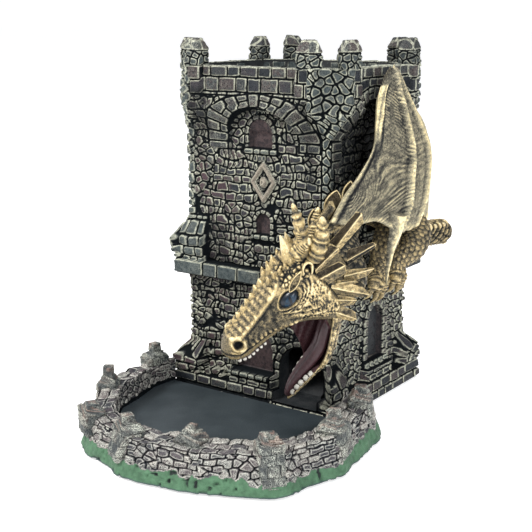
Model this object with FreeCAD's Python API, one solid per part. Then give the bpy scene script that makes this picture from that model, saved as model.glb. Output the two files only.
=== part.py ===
import FreeCAD, Part
import math, os
from FreeCAD import Vector as V

# A dice tower with a dragon clinging to its side, and the rolling tray in front of it. Millimetres.
# Origin at the middle of the tower's footprint on its underside, +Z up,
# -Y (front) towards the tray, +X towards the dragon's side.

os.makedirs("parts", exist_ok=True)

# ---------------------------------------------------------------- tower sizes
TOTAL_H = 190.0                          # top of the merlons
RIM_Z = 176.0                            # top of the parapet between the merlons
PAD_T = 1.2                              # felt under both castings
SHAFT_X, SHAFT_Y = 44.0, 41.0            # half sizes of the shaft
SHAFT_C = 0.6                            # shaft corner chamfer where the corbels start
CORBEL_Z = 142.0                         # where the corbels leave the shaft
BLOCK_X, BLOCK_Y, BLOCK_C = 52.5, 49.5, 14.3   # head block half sizes and corner chamfer
BLOCK_Z = 155.0                          # underside of the head block at its corners

PLINTH_X, PLINTH_Y = 51.5, 48.5          # half sizes of the plinth
COURSE_Z, COURSE_BATTER = 11.0, 1.0      # low course: top, and how far it leans in
PIER_Z0, PIER_Z1, PIER_TOP = 10.0, 20.0, 28.0  # corner piers: foot, shoulder, top
PIER_INSET = 0.4                         # piers stand this far inside the plinth
PIER_IN_X, PIER_IN_Y = 33.0, 30.0        # inner edges of the piers
PIER_SLOPE = 6.5                         # run of the sloping heads
LEDGES = [                               # x0, x1, y0, y1, top
    (-33.5, -20.0, -SHAFT_Y - 4.2, 0, 15.0),
    (-14.0, 14.0, -SHAFT_Y - 5.0, 0, 17.5),
    (0, SHAFT_X + 4.5, -6.0, 20.0, 17.0)]

BAND_Z0, BAND_Z1, BAND_OUT = 66.0, 73.0, 6.0   # string course
BROACH_Z, BROACH_TOP = 85.0, 97.0        # broaches: shoulder and top
BROACH_FOOT = (-SHAFT_X - 5.5, -30, SHAFT_Y + 3.0, 28)    # outer x, inner x, outer y, inner y
BROACH_HEAD = (-SHAFT_X + 0.2, -33, SHAFT_Y - 0.2, 31)

MERLON_LONG, MERLON_SHORT = 9.5, 5.8     # arms along the long sides and the corner sides
MERLON_T = 9.4
MERLON_Z = 185.6                         # where the pointed top starts
MERLON_TOP = 0.62                        # size of the top against the foot

WALL_T = 9.0                             # casting wall
CAV_X, CAV_Y = SHAFT_X - WALL_T, SHAFT_Y - WALL_T   # half sizes of the chute
CAV_C = 4.0
FLOOR_T = 6.0                            # top of the casting's own floor
CAV_TOP = 150.0
FUNNEL_Z0, FUNNEL_Z1 = 145.0, 157.0
MOUTH_X, MOUTH_Y, MOUTH_C = 42.5, 39.5, 12.0
EXIT_CX, EXIT_R, EXIT_SPRING, EXIT_SILL = 28.5, 13.5, 22.0, 6.6
THROAT_X1, THROAT_Y1 = 40.6, -18.0       # right side and back end of the exit throat

# Sides of the tower, as the turn about Z that brings the front onto them
FRONT, RIGHT, BACK, LEFT = 0, 90, 180, 270
CORBEL_ARCH_Z0, CORBEL_ARCH_DEPTH = 136, 16
CORBEL_ARCHES = [                        # side, centre, radius, springing height
    (FRONT, 4.5, 17.0, 139.5), (RIGHT, -9.0, 21.0, 139.0),
    (BACK, 0, 17.0, 139.5), (LEFT, 0, 17.0, 139.5)]
PARAPET_RECESS = 2.0
BLIND_OPENINGS = [                       # side, centre, sill, springing height, radius, depth
    (FRONT, 3.0, 135.5, 143.0, 7.2, 2.2),
    (FRONT, 4.9, 91.5, 98.4, 4.3, 2.2),
    (FRONT, -0.5, 18.0, 30.0, 11.0, 2.6),
    (RIGHT, 7.0, 20.0, 42.0, 8.2, 3.2),
    (BACK, 0.0, 92.0, 112.0, 8.0, 2.6),
    (LEFT, 0.0, 92.0, 112.0, 8.0, 2.6),
    (BACK, 0.0, 22.0, 44.0, 9.0, 2.6),
    (LEFT, 0.0, 22.0, 44.0, 9.0, 2.6)]

RAMP_T, RAMP_ROOT = 3.0, 1.5             # ramp thickness, and what it gains at the wall
UPPER_RAMP = (-CAV_Y, 126.0, 4.0, 103.0)   # y and z at the wall, y and z at the free end
MIDDLE_RAMP = (CAV_Y, 90.0, -4.0, 66.0)
EXIT_RAMP_BEND_X = 14.0                  # left of this the exit ramp also rises sideways
EXIT_RAMP_FRONT = (33.0, 8.0)            # height at the left wall, height right of the bend
EXIT_RAMP_BACK = (60.0, 35.0)

# ---------------------------------------------------------------- tray sizes
TRAY_FLOOR = 5.0
LINER_T, LINER_GAP = 1.0, 0.25
TRAY_WALL_Z = 18.0
SKIRT_Z = 8.0
SKIRT_BATTER = 1.6
WALL_IN, WALL_TOP_IN = 2.6, 4.8          # wall inset from the skirt, foot and top
POST_R, POST_Z, POST_SHOULDER_Z = 6.4, 25.6, 21.5
POST_TOP = 0.6                           # size of the top against the foot
TRAY_PAD_INSET = 6.0
BACK_Y = -49.6                           # back edge of the tray, just clear of the plinth
NOTCH_X = 54.4                           # right of this the tray runs on beside the tower
WELL_X0, WELL_X1 = -48.5, 60.0           # ends of the well at the back edge

# Outer outline, x and y
SKIRT = [
    (-56, BACK_Y), (-62, -53), (-64, -64), (-60, -82), (-59, -100), (-50, -114), (-40, -128),
    (-33, -138), (-22, -145), (-4, -149), (4, -153.5), (14, -153.8), (30, -151.5), (44, -149),
    (59, -142), (74, -135), (79, -128), (80, -116), (84, -104), (88, -95), (84.5, -82),
    (82, -66), (80, -50), (76, -42), (NOTCH_X, -42), (NOTCH_X, BACK_Y)]
# Outline of the rolling well, x and y
WELL = [
    (WELL_X0, BACK_Y - 1), (-49.5, -66), (-44, -86), (-42, -99), (-33, -113), (-21, -127),
    (-2, -134), (16, -133), (34, -128), (50, -122), (61, -118), (66.5, -104), (69, -88),
    (65.5, -70), (61, -57), (WELL_X1, BACK_Y - 1)]
# Centres of the posts, x and y
POSTS = [
    (-54.7, -58.5), (-48.5, -101.1), (-26.0, -136.6), (3.0, -143.0), (33.2, -136.0),
    (68.3, -127.1), (76.6, -88.4), (69.2, -51.5)]


# ---------------------------------------------------------------- helpers
def box(x0, x1, y0, y1, z0, z1):
    return Part.makeBox(x1 - x0, y1 - y0, z1 - z0, V(x0, y0, z0))


def closed(points):
    return Part.makePolygon(points + [points[0]])


def outline(points, z):
    return closed([V(x, y, z) for x, y in points])


def prism(points, z0, z1):
    return Part.Face(outline(points, z0)).extrude(V(0, 0, z1 - z0))


def loft(wires):
    """Ruled solid through the wires."""
    return Part.makeLoft(wires, True, True)


def taper(points0, z0, points1, z1):
    return loft([outline(points0, z0), outline(points1, z1)])


def rect(x0, x1, y0, y1):
    return [(x0, y0), (x1, y0), (x1, y1), (x0, y1)]


def octagon(x, y, c):
    """Rectangle of half sizes x and y with its corners chamfered by c."""
    return [(-x + c, -y), (x - c, -y), (x, -y + c), (x, y - c),
            (x - c, y), (-x + c, y), (-x, y - c), (-x, -y + c)]


def scaled(points, centre, factor):
    return [centre + (p - centre) * factor for p in points]


def inset(points, distance):
    """Move every side of a closed outline inwards by distance, with a limit at sharp corners."""
    n = len(points)
    area = sum(points[i][0] * points[(i + 1) % n][1] - points[(i + 1) % n][0] * points[i][1]
               for i in range(n))
    turn = 1 if area > 0 else -1
    moved = []
    for i in range(n):
        before, here, after = points[i - 1], points[i], points[(i + 1) % n]
        along0 = V(here[0] - before[0], here[1] - before[1], 0).normalize()
        along1 = V(after[0] - here[0], after[1] - here[1], 0).normalize()
        normal0 = V(-along0.y * turn, along0.x * turn, 0)
        normal1 = V(-along1.y * turn, along1.x * turn, 0)
        mitre = normal0 + normal1
        reach = distance / max(0.35, 1 + normal0.dot(normal1))
        moved.append((here[0] + mitre.x * reach, here[1] + mitre.y * reach))
    return moved


def limb(stations, sides=10, flat=1.0):
    """Tapering limb with polygon sections. Stations are x, y, z, radius."""
    points = [V(x, y, z) for x, y, z, _ in stations]
    wires = []
    side = None
    for i, point in enumerate(points):
        along = points[min(i + 1, len(points) - 1)] - points[max(i - 1, 0)]
        along.normalize()
        if side is None:
            side = along.cross(V(0, 0, 1) if abs(along.z) < 0.92 else V(0, 1, 0))
        else:
            # carry the last section's axis over, so the limb doesn't twist
            side = side - along * side.dot(along)
        side.normalize()
        up = side.cross(along).normalize()
        radius = stations[i][3]
        ring = []
        for k in range(sides):
            angle = 2 * math.pi * k / sides
            ring.append(point + side * (radius * math.cos(angle))
                        + up * (radius * flat * math.sin(angle)))
        wires.append(closed(ring))
    return loft(wires)


def spike(base, tip, radius, bend=(0, 0, 0), tip_radius=0.35, sides=7, steps=4):
    """Spike from base to tip, its middle pushed aside by bend."""
    base, tip, bend = V(*base), V(*tip), V(*bend)
    stations = []
    for i in range(steps + 1):
        t = i / steps
        p = base * (1 - t) + tip * t + bend * (4 * t * (1 - t))
        stations.append((p.x, p.y, p.z, radius * (1 - t) ** 0.85 + tip_radius))
    return limb(stations, sides)


def biggest(shape):
    solids = sorted(shape.Solids, key=lambda solid: -solid.Volume)
    return solids[0] if solids else shape


def clear(shape, others):
    """Cut away what the others fill and keep the biggest solid left."""
    for other in others:
        if shape.BoundBox.intersect(other.BoundBox):
            shape = shape.cut(other)
    return biggest(shape)


def write(name, shape):
    solids = shape.Solids
    piece = solids[0] if len(solids) == 1 else Part.makeCompound(solids)
    piece.exportStep("parts/%s.step" % name)


def place(name, shapes, built):
    """Clear each shape of all that is built, add it to built, and write them as one piece."""
    placed = []
    for shape in shapes:
        solid = clear(shape, built)
        if solid.Volume > 0.4:           # slivers are dropped
            placed.append(solid)
            built.append(solid)
    write(name, Part.makeCompound(placed))


# ---------------------------------------------------------------- tower
def turned(shape, side):
    shape.rotate(V(0, 0, 0), V(0, 0, 1), side)
    return shape


def half_sizes(side, x, y):
    """Distance out to a side, and half its width, for a block of half sizes x and y."""
    return (y, x) if side in (FRONT, BACK) else (x, y)


def arch_cutter(centre, radius, z0, spring, y0, y1):
    """Round-headed block running from y0 to y1."""
    barrel = Part.makeCylinder(radius, y1 - y0, V(centre, y0, spring), V(0, 1, 0))
    return box(centre - radius, centre + radius, y0, y1, z0, spring).fuse(barrel)


def add_plinth(body):
    top_x, top_y = PLINTH_X - COURSE_BATTER, PLINTH_Y - COURSE_BATTER
    body = body.fuse(taper(rect(-PLINTH_X, PLINTH_X, -PLINTH_Y, PLINTH_Y), PAD_T,
                           rect(-top_x, top_x, -top_y, top_y), COURSE_Z))
    for sx in (-1, 1):
        for sy in (-1, 1):
            x0, x1 = sorted((sx * (PLINTH_X - PIER_INSET), sx * PIER_IN_X))
            y0, y1 = sorted((sy * (PLINTH_Y - PIER_INSET), sy * PIER_IN_Y))
            if sx > 0 and sy < 0:
                x0 = EXIT_CX + EXIT_R + 0.8      # this pier stops short of the exit
            body = body.fuse(box(x0, x1, y0, y1, PIER_Z0, PIER_Z1))
            # only the two outer sides of the head slope
            head = rect(x0 + (0 if sx > 0 else PIER_SLOPE), x1 - (PIER_SLOPE if sx > 0 else 0),
                        y0 + (0 if sy > 0 else PIER_SLOPE), y1 - (PIER_SLOPE if sy > 0 else 0))
            body = body.fuse(taper(rect(x0, x1, y0, y1), PIER_Z1, head, PIER_TOP))
    for x0, x1, y0, y1, top in LEDGES:
        body = body.fuse(box(x0, x1, y0, y1, PIER_Z0, top))
    return body


def add_string_course(body):
    """String course, and the broaches standing on its two left corners."""
    band_x, band_y = SHAFT_X + BAND_OUT, SHAFT_Y + BAND_OUT
    body = body.fuse(box(-band_x, band_x, -band_y, band_y, BAND_Z0, BAND_Z1))
    for sy in (-1, 1):
        foot, head = [rect(x0, x1, sy * y0, sy * y1)
                      for x0, x1, y0, y1 in (BROACH_FOOT, BROACH_HEAD)]
        body = body.fuse(prism(foot, BAND_Z1 - 0.5, BROACH_Z))
        body = body.fuse(taper(foot, BROACH_Z, head, BROACH_TOP))
    return body


def inward_normal(point, along):
    normal = V(-along.y, along.x, 0).normalize()
    return normal if point.dot(normal) < 0 else normal * -1


def merlon_foot(corner, before, after):
    """Outline of a merlon folded round a corner of the head block."""
    along0, along1 = before - corner, after - corner
    if along0.Length > along1.Length:
        arm0, arm1 = MERLON_LONG, MERLON_SHORT
    else:
        arm0, arm1 = MERLON_SHORT, MERLON_LONG
    end0 = corner + along0.normalize() * arm0
    end1 = corner + along1.normalize() * arm1
    normal0, normal1 = inward_normal(end0, along0), inward_normal(end1, along1)
    inner = corner + (normal0 + normal1) * (MERLON_T / (1 + normal0.dot(normal1)))
    return [corner, end1, end1 + normal1 * MERLON_T, inner, end0 + normal0 * MERLON_T, end0]


def add_head_block(body):
    block = octagon(BLOCK_X, BLOCK_Y, BLOCK_C)
    body = body.fuse(taper(octagon(SHAFT_X, SHAFT_Y, SHAFT_C), CORBEL_Z - 1.0, block, BLOCK_Z))
    body = body.fuse(prism(block, BLOCK_Z - 0.1, RIM_Z))
    corners = [V(x, y, 0) for x, y in block]
    for i, corner in enumerate(corners):
        ring = merlon_foot(corner, corners[i - 1], corners[(i + 1) % 8])
        centre = sum(ring, V(0, 0, 0)) * (1 / 6.0)
        foot = [(p.x, p.y) for p in ring]
        top = [(p.x, p.y) for p in scaled(ring, centre, MERLON_TOP)]
        body = body.fuse(prism(foot, RIM_Z - 0.5, MERLON_Z))
        body = body.fuse(taper(foot, MERLON_Z, top, TOTAL_H))
    return body


def cut_chute(body):
    mouth = octagon(MOUTH_X, MOUTH_Y, MOUTH_C)
    body = body.cut(box(-CAV_X, CAV_X, -CAV_Y, CAV_Y, FLOOR_T, CAV_TOP))
    body = body.cut(taper(octagon(CAV_X, CAV_Y, CAV_C), FUNNEL_Z0, mouth, FUNNEL_Z1))
    body = body.cut(prism(mouth, FUNNEL_Z1 - 0.1, TOTAL_H + 5))
    # exit arch and the throat behind it
    body = body.cut(arch_cutter(EXIT_CX, EXIT_R, EXIT_SILL, EXIT_SPRING, -60, -CAV_Y - 3.0))
    return body.cut(box(EXIT_CX - EXIT_R, THROAT_X1, -CAV_Y - 3.5, THROAT_Y1,
                        EXIT_SILL, EXIT_SPRING + EXIT_R - 0.6))


def cut_facades(body):
    # machicolation arches under the head block
    for side, centre, radius, spring in CORBEL_ARCHES:
        out, _ = half_sizes(side, SHAFT_X, SHAFT_Y)
        cutter = arch_cutter(centre, radius, CORBEL_ARCH_Z0, spring,
                             -out - CORBEL_ARCH_DEPTH, -out)
        body = body.cut(turned(cutter, side))
    # the parapet stands back a little between the merlons
    for side in (FRONT, RIGHT, BACK, LEFT):
        out, width = half_sizes(side, BLOCK_X, BLOCK_Y)
        run = width - BLOCK_C - MERLON_LONG
        cutter = box(-run, run, -out - 3, -out + PARAPET_RECESS, BLOCK_Z + 1.0, RIM_Z + 5)
        body = body.cut(turned(cutter, side))
    # blind windows and doors
    for side, centre, sill, spring, radius, depth in BLIND_OPENINGS:
        out, _ = half_sizes(side, SHAFT_X, SHAFT_Y)
        cutter = arch_cutter(centre, radius, sill, spring, -out - 6, -out + depth)
        body = body.cut(turned(cutter, side))
    return body


def tower_shell():
    body = box(-SHAFT_X, SHAFT_X, -SHAFT_Y, SHAFT_Y, PAD_T, CORBEL_Z)
    for step in (add_plinth, add_string_course, add_head_block, cut_chute, cut_facades):
        body = step(body)
    return biggest(body.removeSplitter())


def tower_pad():
    x, y = PLINTH_X - 2, PLINTH_Y - 2
    return box(-x, x, -y, y, 0, PAD_T)


def ramp(y_wall, z_wall, y_end, z_end):
    profile = [V(-CAV_X, y_wall, z_wall), V(-CAV_X, y_end, z_end),
               V(-CAV_X, y_end, z_end - RAMP_T), V(-CAV_X, y_wall, z_wall - RAMP_T - RAMP_ROOT)]
    return Part.Face(closed(profile)).extrude(V(2 * CAV_X, 0, 0))


def exit_ramp():
    sections = []
    for y, (high, low) in ((-CAV_Y, EXIT_RAMP_FRONT), (CAV_Y, EXIT_RAMP_BACK)):
        sections.append(closed([V(-CAV_X, y, high), V(EXIT_RAMP_BEND_X, y, low),
                                V(CAV_X, y, low), V(CAV_X, y, FLOOR_T), V(-CAV_X, y, FLOOR_T)]))
    return loft(sections)


# ---------------------------------------------------------------- dragon trunk
# Stations: x, y, z, radius
BODY = [
    (50, -34, 113, 5.5), (51, -20, 110.5, 8.4), (51.5, -8, 106, 9.0), (52, 8, 99.5, 9.2),
    (52.5, 22, 93, 8.8), (53, 32, 88.5, 7.8), (54, 39, 86.5, 6.4)]
TAIL = [
    (53.5, 38, 87, 6.5), (58, 47, 85, 6.3), (55, 54, 83.8, 6.2), (47, 56, 81.5, 6.2),
    (38, 55.3, 79, 6.5), (20, 51.5, 72, 6.4), (0, 49, 63, 5.7), (-18, 47.5, 54, 4.5),
    (-31, 46.5, 47, 3.0), (-38, 45, 43, 0.8)]
NECK = [
    (50.5, -25, 112, 7.0), (53, -40, 107, 7.8), (57.5, -53, 99.5, 8.2), (64, -62.5, 91.5, 9.2),
    (68, -67.5, 86, 10.5)]
# Base, tip, radius
NECK_SPINES = [
    ((59.5, -65.0, 101), (52.5, -69.5, 113), 2.9),
    ((59.5, -58, 107), (57.5, -60, 121), 3.2),
    ((57, -46, 116), (58.5, -49, 128), 2.8)]

# ---------------------------------------------------------------- dragon head
# Head axes: forwards along the snout, outwards on the side away from the tower, and upwards,
# rolled outwards. Points in head axes are (forward, outward, upward) from HEAD_BASE.
HEAD_BASE = V(68.2, -70.0, 84.6)
HEAD_SCALE = 0.967
HEAD_ROLL = math.radians(16.0)
FORWARD = V(-0.635, -0.554, -0.537).normalize()
LEVEL_OUT = V(-FORWARD.y, FORWARD.x, 0).normalize()
LEVEL_UP = FORWARD.cross(LEVEL_OUT).normalize()
OUTWARD = LEVEL_OUT * math.cos(HEAD_ROLL) - LEVEL_UP * math.sin(HEAD_ROLL)
UPWARD = LEVEL_UP * math.cos(HEAD_ROLL) + LEVEL_OUT * math.sin(HEAD_ROLL)

# Skull sections: forward, half width, top, bottom
SKULL = [
    (-3, 11, 15, -10), (4, 13.5, 20, -15), (13, 14.5, 22.5, -15), (22, 14.0, 22.0, -9),
    (30, 12.5, 18.5, -6), (39, 11, 14.5, -5.5), (48, 9.6, 10.5, -5.5), (57, 9.0, 7.5, -5.0),
    (62.5, 7.0, 4.5, -4.0), (65.5, 3.5, 1.5, -2.5)]
EYE_R, SOCKET_R = 4.2, 4.3
EYE_SINK = 1.2                           # socket floor below the eye's centre
EYE_TRIM_R, EYE_TRIM_H = 6.0, 9.0        # cylinder that trims the eye to a dome

# Jaw sections: forward, height, half width, thickness
JAW = [
    (8, -19, 11.5, 4.0), (16, -24, 10.8, 4.2), (26, -31, 9.4, 3.8), (36, -36, 7.6, 3.0),
    (45, -40, 5.8, 2.4), (50.5, -42, 2.8, 1.6)]
# Jaw section shape: across in half widths, up in thicknesses
JAW_SHAPE = [
    (-1, 0.25), (-0.75, 1.0), (0.75, 1.0), (1, 0.25),
    (0.8, -0.6), (0.35, -1.0), (-0.35, -1.0), (-0.8, -0.6)]
# Tongue stations: forward, up, radius
TONGUE = [(19, -19.2, 5.0), (28, -25.4, 4.8), (37, -31.2, 4.0), (45, -35.8, 3.0),
          (49, -38.2, 0.9)]

# Base and tip in head axes, radius, then any bend in the tower's axes
HORNS = [
    ((15, 4, 20), (12.5, 6, 36), 2.6),
    ((9, 5.0, 20), (-0.5, 8, 49.5), 3.0, (1, 0, 1)),
    ((3, 10.5, 17), (-9, 14, 39), 3.8, (1, 0, 1)),
    ((9, -6.0, 19), (-1.0, -11, 45), 3.0),
    ((3, -10.5, 15), (-8, -15, 35), 3.6)]
CHEEK_SPIKES = [
    ((8, 13.0, 11), (-27, 15, 28.5), 3.6, (0, 0, 1)),
    ((6, 13.5, 5), (-24.5, 16, 12.5), 3.2),
    ((5, 13.5, -1), (-18, 17, 2.5), 3.2),
    ((6, 13.2, -7), (-8.5, 17, -9.5), 3.0),
    ((7, 12.8, -12), (3.0, 17, -17.0), 2.6),
    ((8, -13.0, 9), (-22, -17, 22), 3.2),
    ((6, -13.0, 1), (-17, -18, 4), 3.0)]
# Half width of the snout at each pair of upper teeth, from the front backwards
UPPER_TOOTH_WIDTHS = (8.2, 9.0, 9.4, 9.9, 10.6, 11.2, 11.8, 12.4)
UPPER_TOOTH_FIRST, UPPER_TOOTH_PITCH = 60.0, 4.6
LOWER_TOOTH_PAIRS = 5


def head_point(forward, outward, upward):
    return HEAD_BASE + (FORWARD * forward + OUTWARD * outward + UPWARD * upward) * HEAD_SCALE


def skull_ring(forward, width, top, bottom):
    """Squarish oval section."""
    middle = (top + bottom) / 2.0
    ring = []
    for k in range(14):
        angle = 2 * math.pi * k / 14
        across, up = [math.copysign(abs(q) ** 0.8, q) for q in (math.cos(angle), math.sin(angle))]
        ring.append(head_point(forward, width * across, middle + (top - middle) * up))
    return closed(ring)


def head_and_eyes(built):
    """Skull with flat-floored round sockets, and a dome standing in each."""
    head = clear(loft([skull_ring(*section) for section in SKULL]), built)
    eyes = []
    for sd in (1, -1):
        axis = (OUTWARD * (0.95 * sd) + UPWARD * 0.30).normalize()
        centre = head_point(25.4 + 0.1 * sd, sd * 11.2, 12.0)
        floor = centre - axis * EYE_SINK
        trim = Part.makeCylinder(EYE_TRIM_R, EYE_TRIM_H, floor, axis)
        eyes.append(Part.makeSphere(EYE_R, centre).common(trim))
        head = biggest(head.cut(Part.makeCylinder(SOCKET_R, EYE_TRIM_H, floor, axis)))
    return head, eyes


def lower_jaw():
    return loft([
        closed([head_point(forward - 0.45 * thick * y, width * x, height + 0.9 * thick * y)
                for x, y in JAW_SHAPE])
        for forward, height, width, thick in JAW])


def tongue():
    stations = [(*head_point(forward, 0, up), radius) for forward, up, radius in TONGUE]
    return limb(stations, sides=10, flat=0.5)


def head_spikes(rows):
    return [spike(head_point(*base), head_point(*tip), radius, *bend)
            for base, tip, radius, *bend in rows]


def upper_teeth():
    teeth = []
    for i, width in enumerate(UPPER_TOOTH_WIDTHS):
        forward = UPPER_TOOTH_FIRST - UPPER_TOOTH_PITCH * i
        for sd in (1, -1):
            teeth.append(spike(head_point(forward, sd * width * 0.86, -4.4),
                               head_point(forward + 0.5, sd * width * 0.88, -8.6),
                               radius=1.15, sides=6, steps=2))
    return teeth


def lower_teeth():
    teeth = []
    for i in range(LOWER_TOOTH_PAIRS):
        t = i / (LOWER_TOOTH_PAIRS - 1)
        forward, height, width = 30 + 18 * t, -33.2 - 7.6 * t, 8.0 - 4.2 * t
        for sd in (1, -1):
            teeth.append(spike(head_point(forward - 0.8, sd * width, height + 2.2),
                               head_point(forward - 3.4, sd * (width + 0.3), height + 7.0),
                               radius=1.25, sides=6, steps=2))
    return teeth


# ---------------------------------------------------------------- dragon wing and foreleg
# Wing sections: z, front edge, crest and rear edge as (x, y), thickness
WING = [
    (174.5, (56.5, -5.5), (58.5, -3.0), (57.5, 0.5), 2.5),
    (163.0, (59.0, -23.0), (65.0, -8.0), (58.5, 8.0), 3.6),
    (150.0, (60.0, -27.0), (69.0, -5.0), (59.5, 23.0), 4.0),
    (136.0, (60.5, -31.0), (72.0, -4.0), (59.0, 32.5), 4.0),
    (120.0, (61.5, -54.0), (75.0, -16.0), (58.5, 33.0), 4.0),
    (105.0, (62.5, -66.0), (76.0, -21.0), (58.5, 33.0), 4.0)]
WING_STEPS = 8
WING_CENTRE_X = 20                       # the wing's thickness is measured towards this x
FORELEG = [                              # x, y, z, radius
    (57, -12, 98, 6.0), (58, -14, 88, 5.6), (54, -12, 78, 5.0), (50.5, -9, 71, 4.6)]
PAW_Y, PAW_R = -8, 6.2
CLAWS = ((-7, -7), (0, -10), (7, -8))    # reach of each claw in y and z


def crescent(z, front, crest, rear, thick):
    front, crest, rear = V(*front, z), V(*crest, z), V(*rear, z)
    centre = V(WING_CENTRE_X, crest.y * 0.5 + (front.y + rear.y) * 0.25, z)
    outer = []
    for i in range(WING_STEPS + 1):
        t = i / WING_STEPS
        # quadratic through the three points at t = 0, 0.5 and 1
        outer.append(front * (2 * (t - 0.5) * (t - 1)) + crest * (4 * t * (1 - t))
                     + rear * (2 * t * (t - 0.5)))
    inner = [p + (centre - p).normalize() * thick for p in outer]
    return closed(outer + inner[::-1])


def wing():
    """Curved leaf off the tower's right side, with a spike hanging from its lower edge."""
    leaf = loft([crescent(*section) for section in WING])
    return leaf.fuse(spike((66.5, -22.0, 108.0), (66.0, -21.0, 76.0), radius=4.0,
                           bend=(2.0, 0, 0), tip_radius=0.5, sides=8))


def foreleg():
    leg = limb(FORELEG).fuse(Part.makeSphere(PAW_R, V(51, PAW_Y, 69)))
    for dy, dz in CLAWS:
        leg = leg.fuse(spike((52, PAW_Y + dy * 0.4, 67), (49.5, PAW_Y + dy, 66 + dz), 2.4))
    return leg


# ---------------------------------------------------------------- tray
def post(x, y):
    """Octagonal post with a tapering top."""
    centre = V(x, y, 0)
    angles = [math.pi / 8 + k * math.pi / 4 for k in range(8)]
    ring = [centre + V(POST_R * math.cos(a), POST_R * math.sin(a), 0) for a in angles]
    foot = [(p.x, p.y) for p in ring]
    top = [(p.x, p.y) for p in scaled(ring, centre, POST_TOP)]
    return prism(foot, PAD_T, POST_SHOULDER_Z).fuse(taper(foot, POST_SHOULDER_Z, top, POST_Z))


def tray_casting():
    tray = taper(SKIRT, PAD_T, inset(SKIRT, SKIRT_BATTER), SKIRT_Z)
    tray = tray.fuse(taper(inset(SKIRT, WALL_IN), SKIRT_Z - 0.1,
                           inset(SKIRT, WALL_TOP_IN), TRAY_WALL_Z))
    tray = tray.cut(prism(WELL, TRAY_FLOOR, 40))
    # the well runs out through the back edge
    tray = tray.cut(box(WELL_X0, WELL_X1, BACK_Y - 12, BACK_Y + 12, TRAY_FLOOR, 40))
    # room for the tower behind the back edge, before and after the posts go on
    tray = tray.cut(box(-56, NOTCH_X, BACK_Y + 0.001, 0, 0, 60))
    for x, y in POSTS:
        tray = tray.fuse(post(x, y))
    tray = tray.cut(box(-70, NOTCH_X, BACK_Y, 0, 0, 60))
    return biggest(tray.removeSplitter())


def tray_liner(tray):
    return biggest(prism(inset(WELL, LINER_GAP), TRAY_FLOOR, TRAY_FLOOR + LINER_T).cut(tray))


def tray_pad():
    pad = prism(inset(SKIRT, TRAY_PAD_INSET), 0, PAD_T)
    return pad.cut(box(-70, NOTCH_X, BACK_Y - 2, 0, -1, 5))


# ---------------------------------------------------------------- build
shell = tower_shell()
write("tower_shell", shell)
write("tower_felt_pad", tower_pad())
write("upper_ramp", ramp(*UPPER_RAMP))
write("middle_ramp", ramp(*MIDDLE_RAMP))
write("exit_ramp", exit_ramp())

# Each dragon piece is cut clear of the shell and of every dragon piece before it
built = [shell]
place("dragon_body", [limb(BODY, sides=14)], built)
place("dragon_tail", [limb(TAIL, sides=12)], built)
place("dragon_neck", [limb(NECK, sides=14)], built)
head, eyes = head_and_eyes(built)
write("dragon_head", head)
write("dragon_eyes", Part.makeCompound(eyes))
built += [head] + eyes
place("dragon_lower_jaw", [lower_jaw()], built)
place("dragon_tongue", [tongue()], built)
place("dragon_horns", head_spikes(HORNS), built)
place("dragon_cheek_spikes", head_spikes(CHEEK_SPIKES), built)
place("dragon_neck_spines", [spike(*row) for row in NECK_SPINES], built)
place("dragon_upper_teeth", upper_teeth(), built)
place("dragon_lower_teeth", lower_teeth(), built)
place("dragon_wing", [wing()], built)
place("dragon_foreleg", [foreleg()], built)

tray = tray_casting()
write("tray_casting", tray)
write("tray_liner", tray_liner(tray))
write("tray_felt_pad", tray_pad())
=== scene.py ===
# A square stone keep with a walled tray in front of it and a gold dragon lying over one side.
# +Z is up. The keep stands on the origin with its front towards -Y, the tray lies in front
# (-Y), and the dragon's body, head and wing hang on the keep's +X side, its tail round the back.
# Everything is in millimetres until a mesh is written.
import math
import bpy
import numpy as np
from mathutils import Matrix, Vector


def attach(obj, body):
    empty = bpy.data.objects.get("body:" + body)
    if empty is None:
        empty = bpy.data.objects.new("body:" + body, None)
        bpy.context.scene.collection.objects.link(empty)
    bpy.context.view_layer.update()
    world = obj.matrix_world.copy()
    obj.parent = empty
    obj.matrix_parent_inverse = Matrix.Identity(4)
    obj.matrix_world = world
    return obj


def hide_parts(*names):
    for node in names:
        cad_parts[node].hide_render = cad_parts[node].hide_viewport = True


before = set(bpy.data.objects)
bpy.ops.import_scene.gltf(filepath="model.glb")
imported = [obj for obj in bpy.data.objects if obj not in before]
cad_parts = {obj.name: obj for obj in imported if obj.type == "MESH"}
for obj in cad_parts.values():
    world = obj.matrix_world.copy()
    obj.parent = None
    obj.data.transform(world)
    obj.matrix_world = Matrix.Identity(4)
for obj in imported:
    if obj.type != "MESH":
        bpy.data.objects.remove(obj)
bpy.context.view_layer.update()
MM = 0.001

# ======================================================================================
# Number helpers
# ======================================================================================


def hash01(*keys):
    """A repeatable random number in 0..1 for whole-number keys."""
    bits = np.zeros(np.broadcast(*[np.asarray(key) for key in keys]).shape, np.uint64)
    bits = bits + np.uint64(2166136261)
    for key in keys:
        key = np.asarray(key).astype(np.int64).astype(np.uint64)
        bits = (bits ^ (key * np.uint64(0x9E3779B97F4A7C15))) * np.uint64(0xBF58476D1CE4E5B9)
        bits ^= bits >> np.uint64(29)
    bits = (bits ^ (bits >> np.uint64(31))) * np.uint64(0x94D049BB133111EB)
    bits ^= bits >> np.uint64(32)
    return (bits & np.uint64(0xFFFFFF)).astype(float) / float(0x1000000)


def lerp(start, end, share):
    return start * (1 - share) + end * share


def ease(share):
    return share * share * (3 - 2 * share)


def smooth(x, start, end):
    """Rises smoothly from 0 at start to 1 at end."""
    return ease(np.clip((x - start) / (end - start), 0, 1))


def plateau(x, rise_start, rise_end, fall_start, fall_end):
    """Rises to 1, stays there and falls back to 0."""
    return smooth(x, rise_start, rise_end) * (1 - smooth(x, fall_start, fall_end))


def bell(x, width):
    return np.exp(-(x / width) ** 2)


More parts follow.
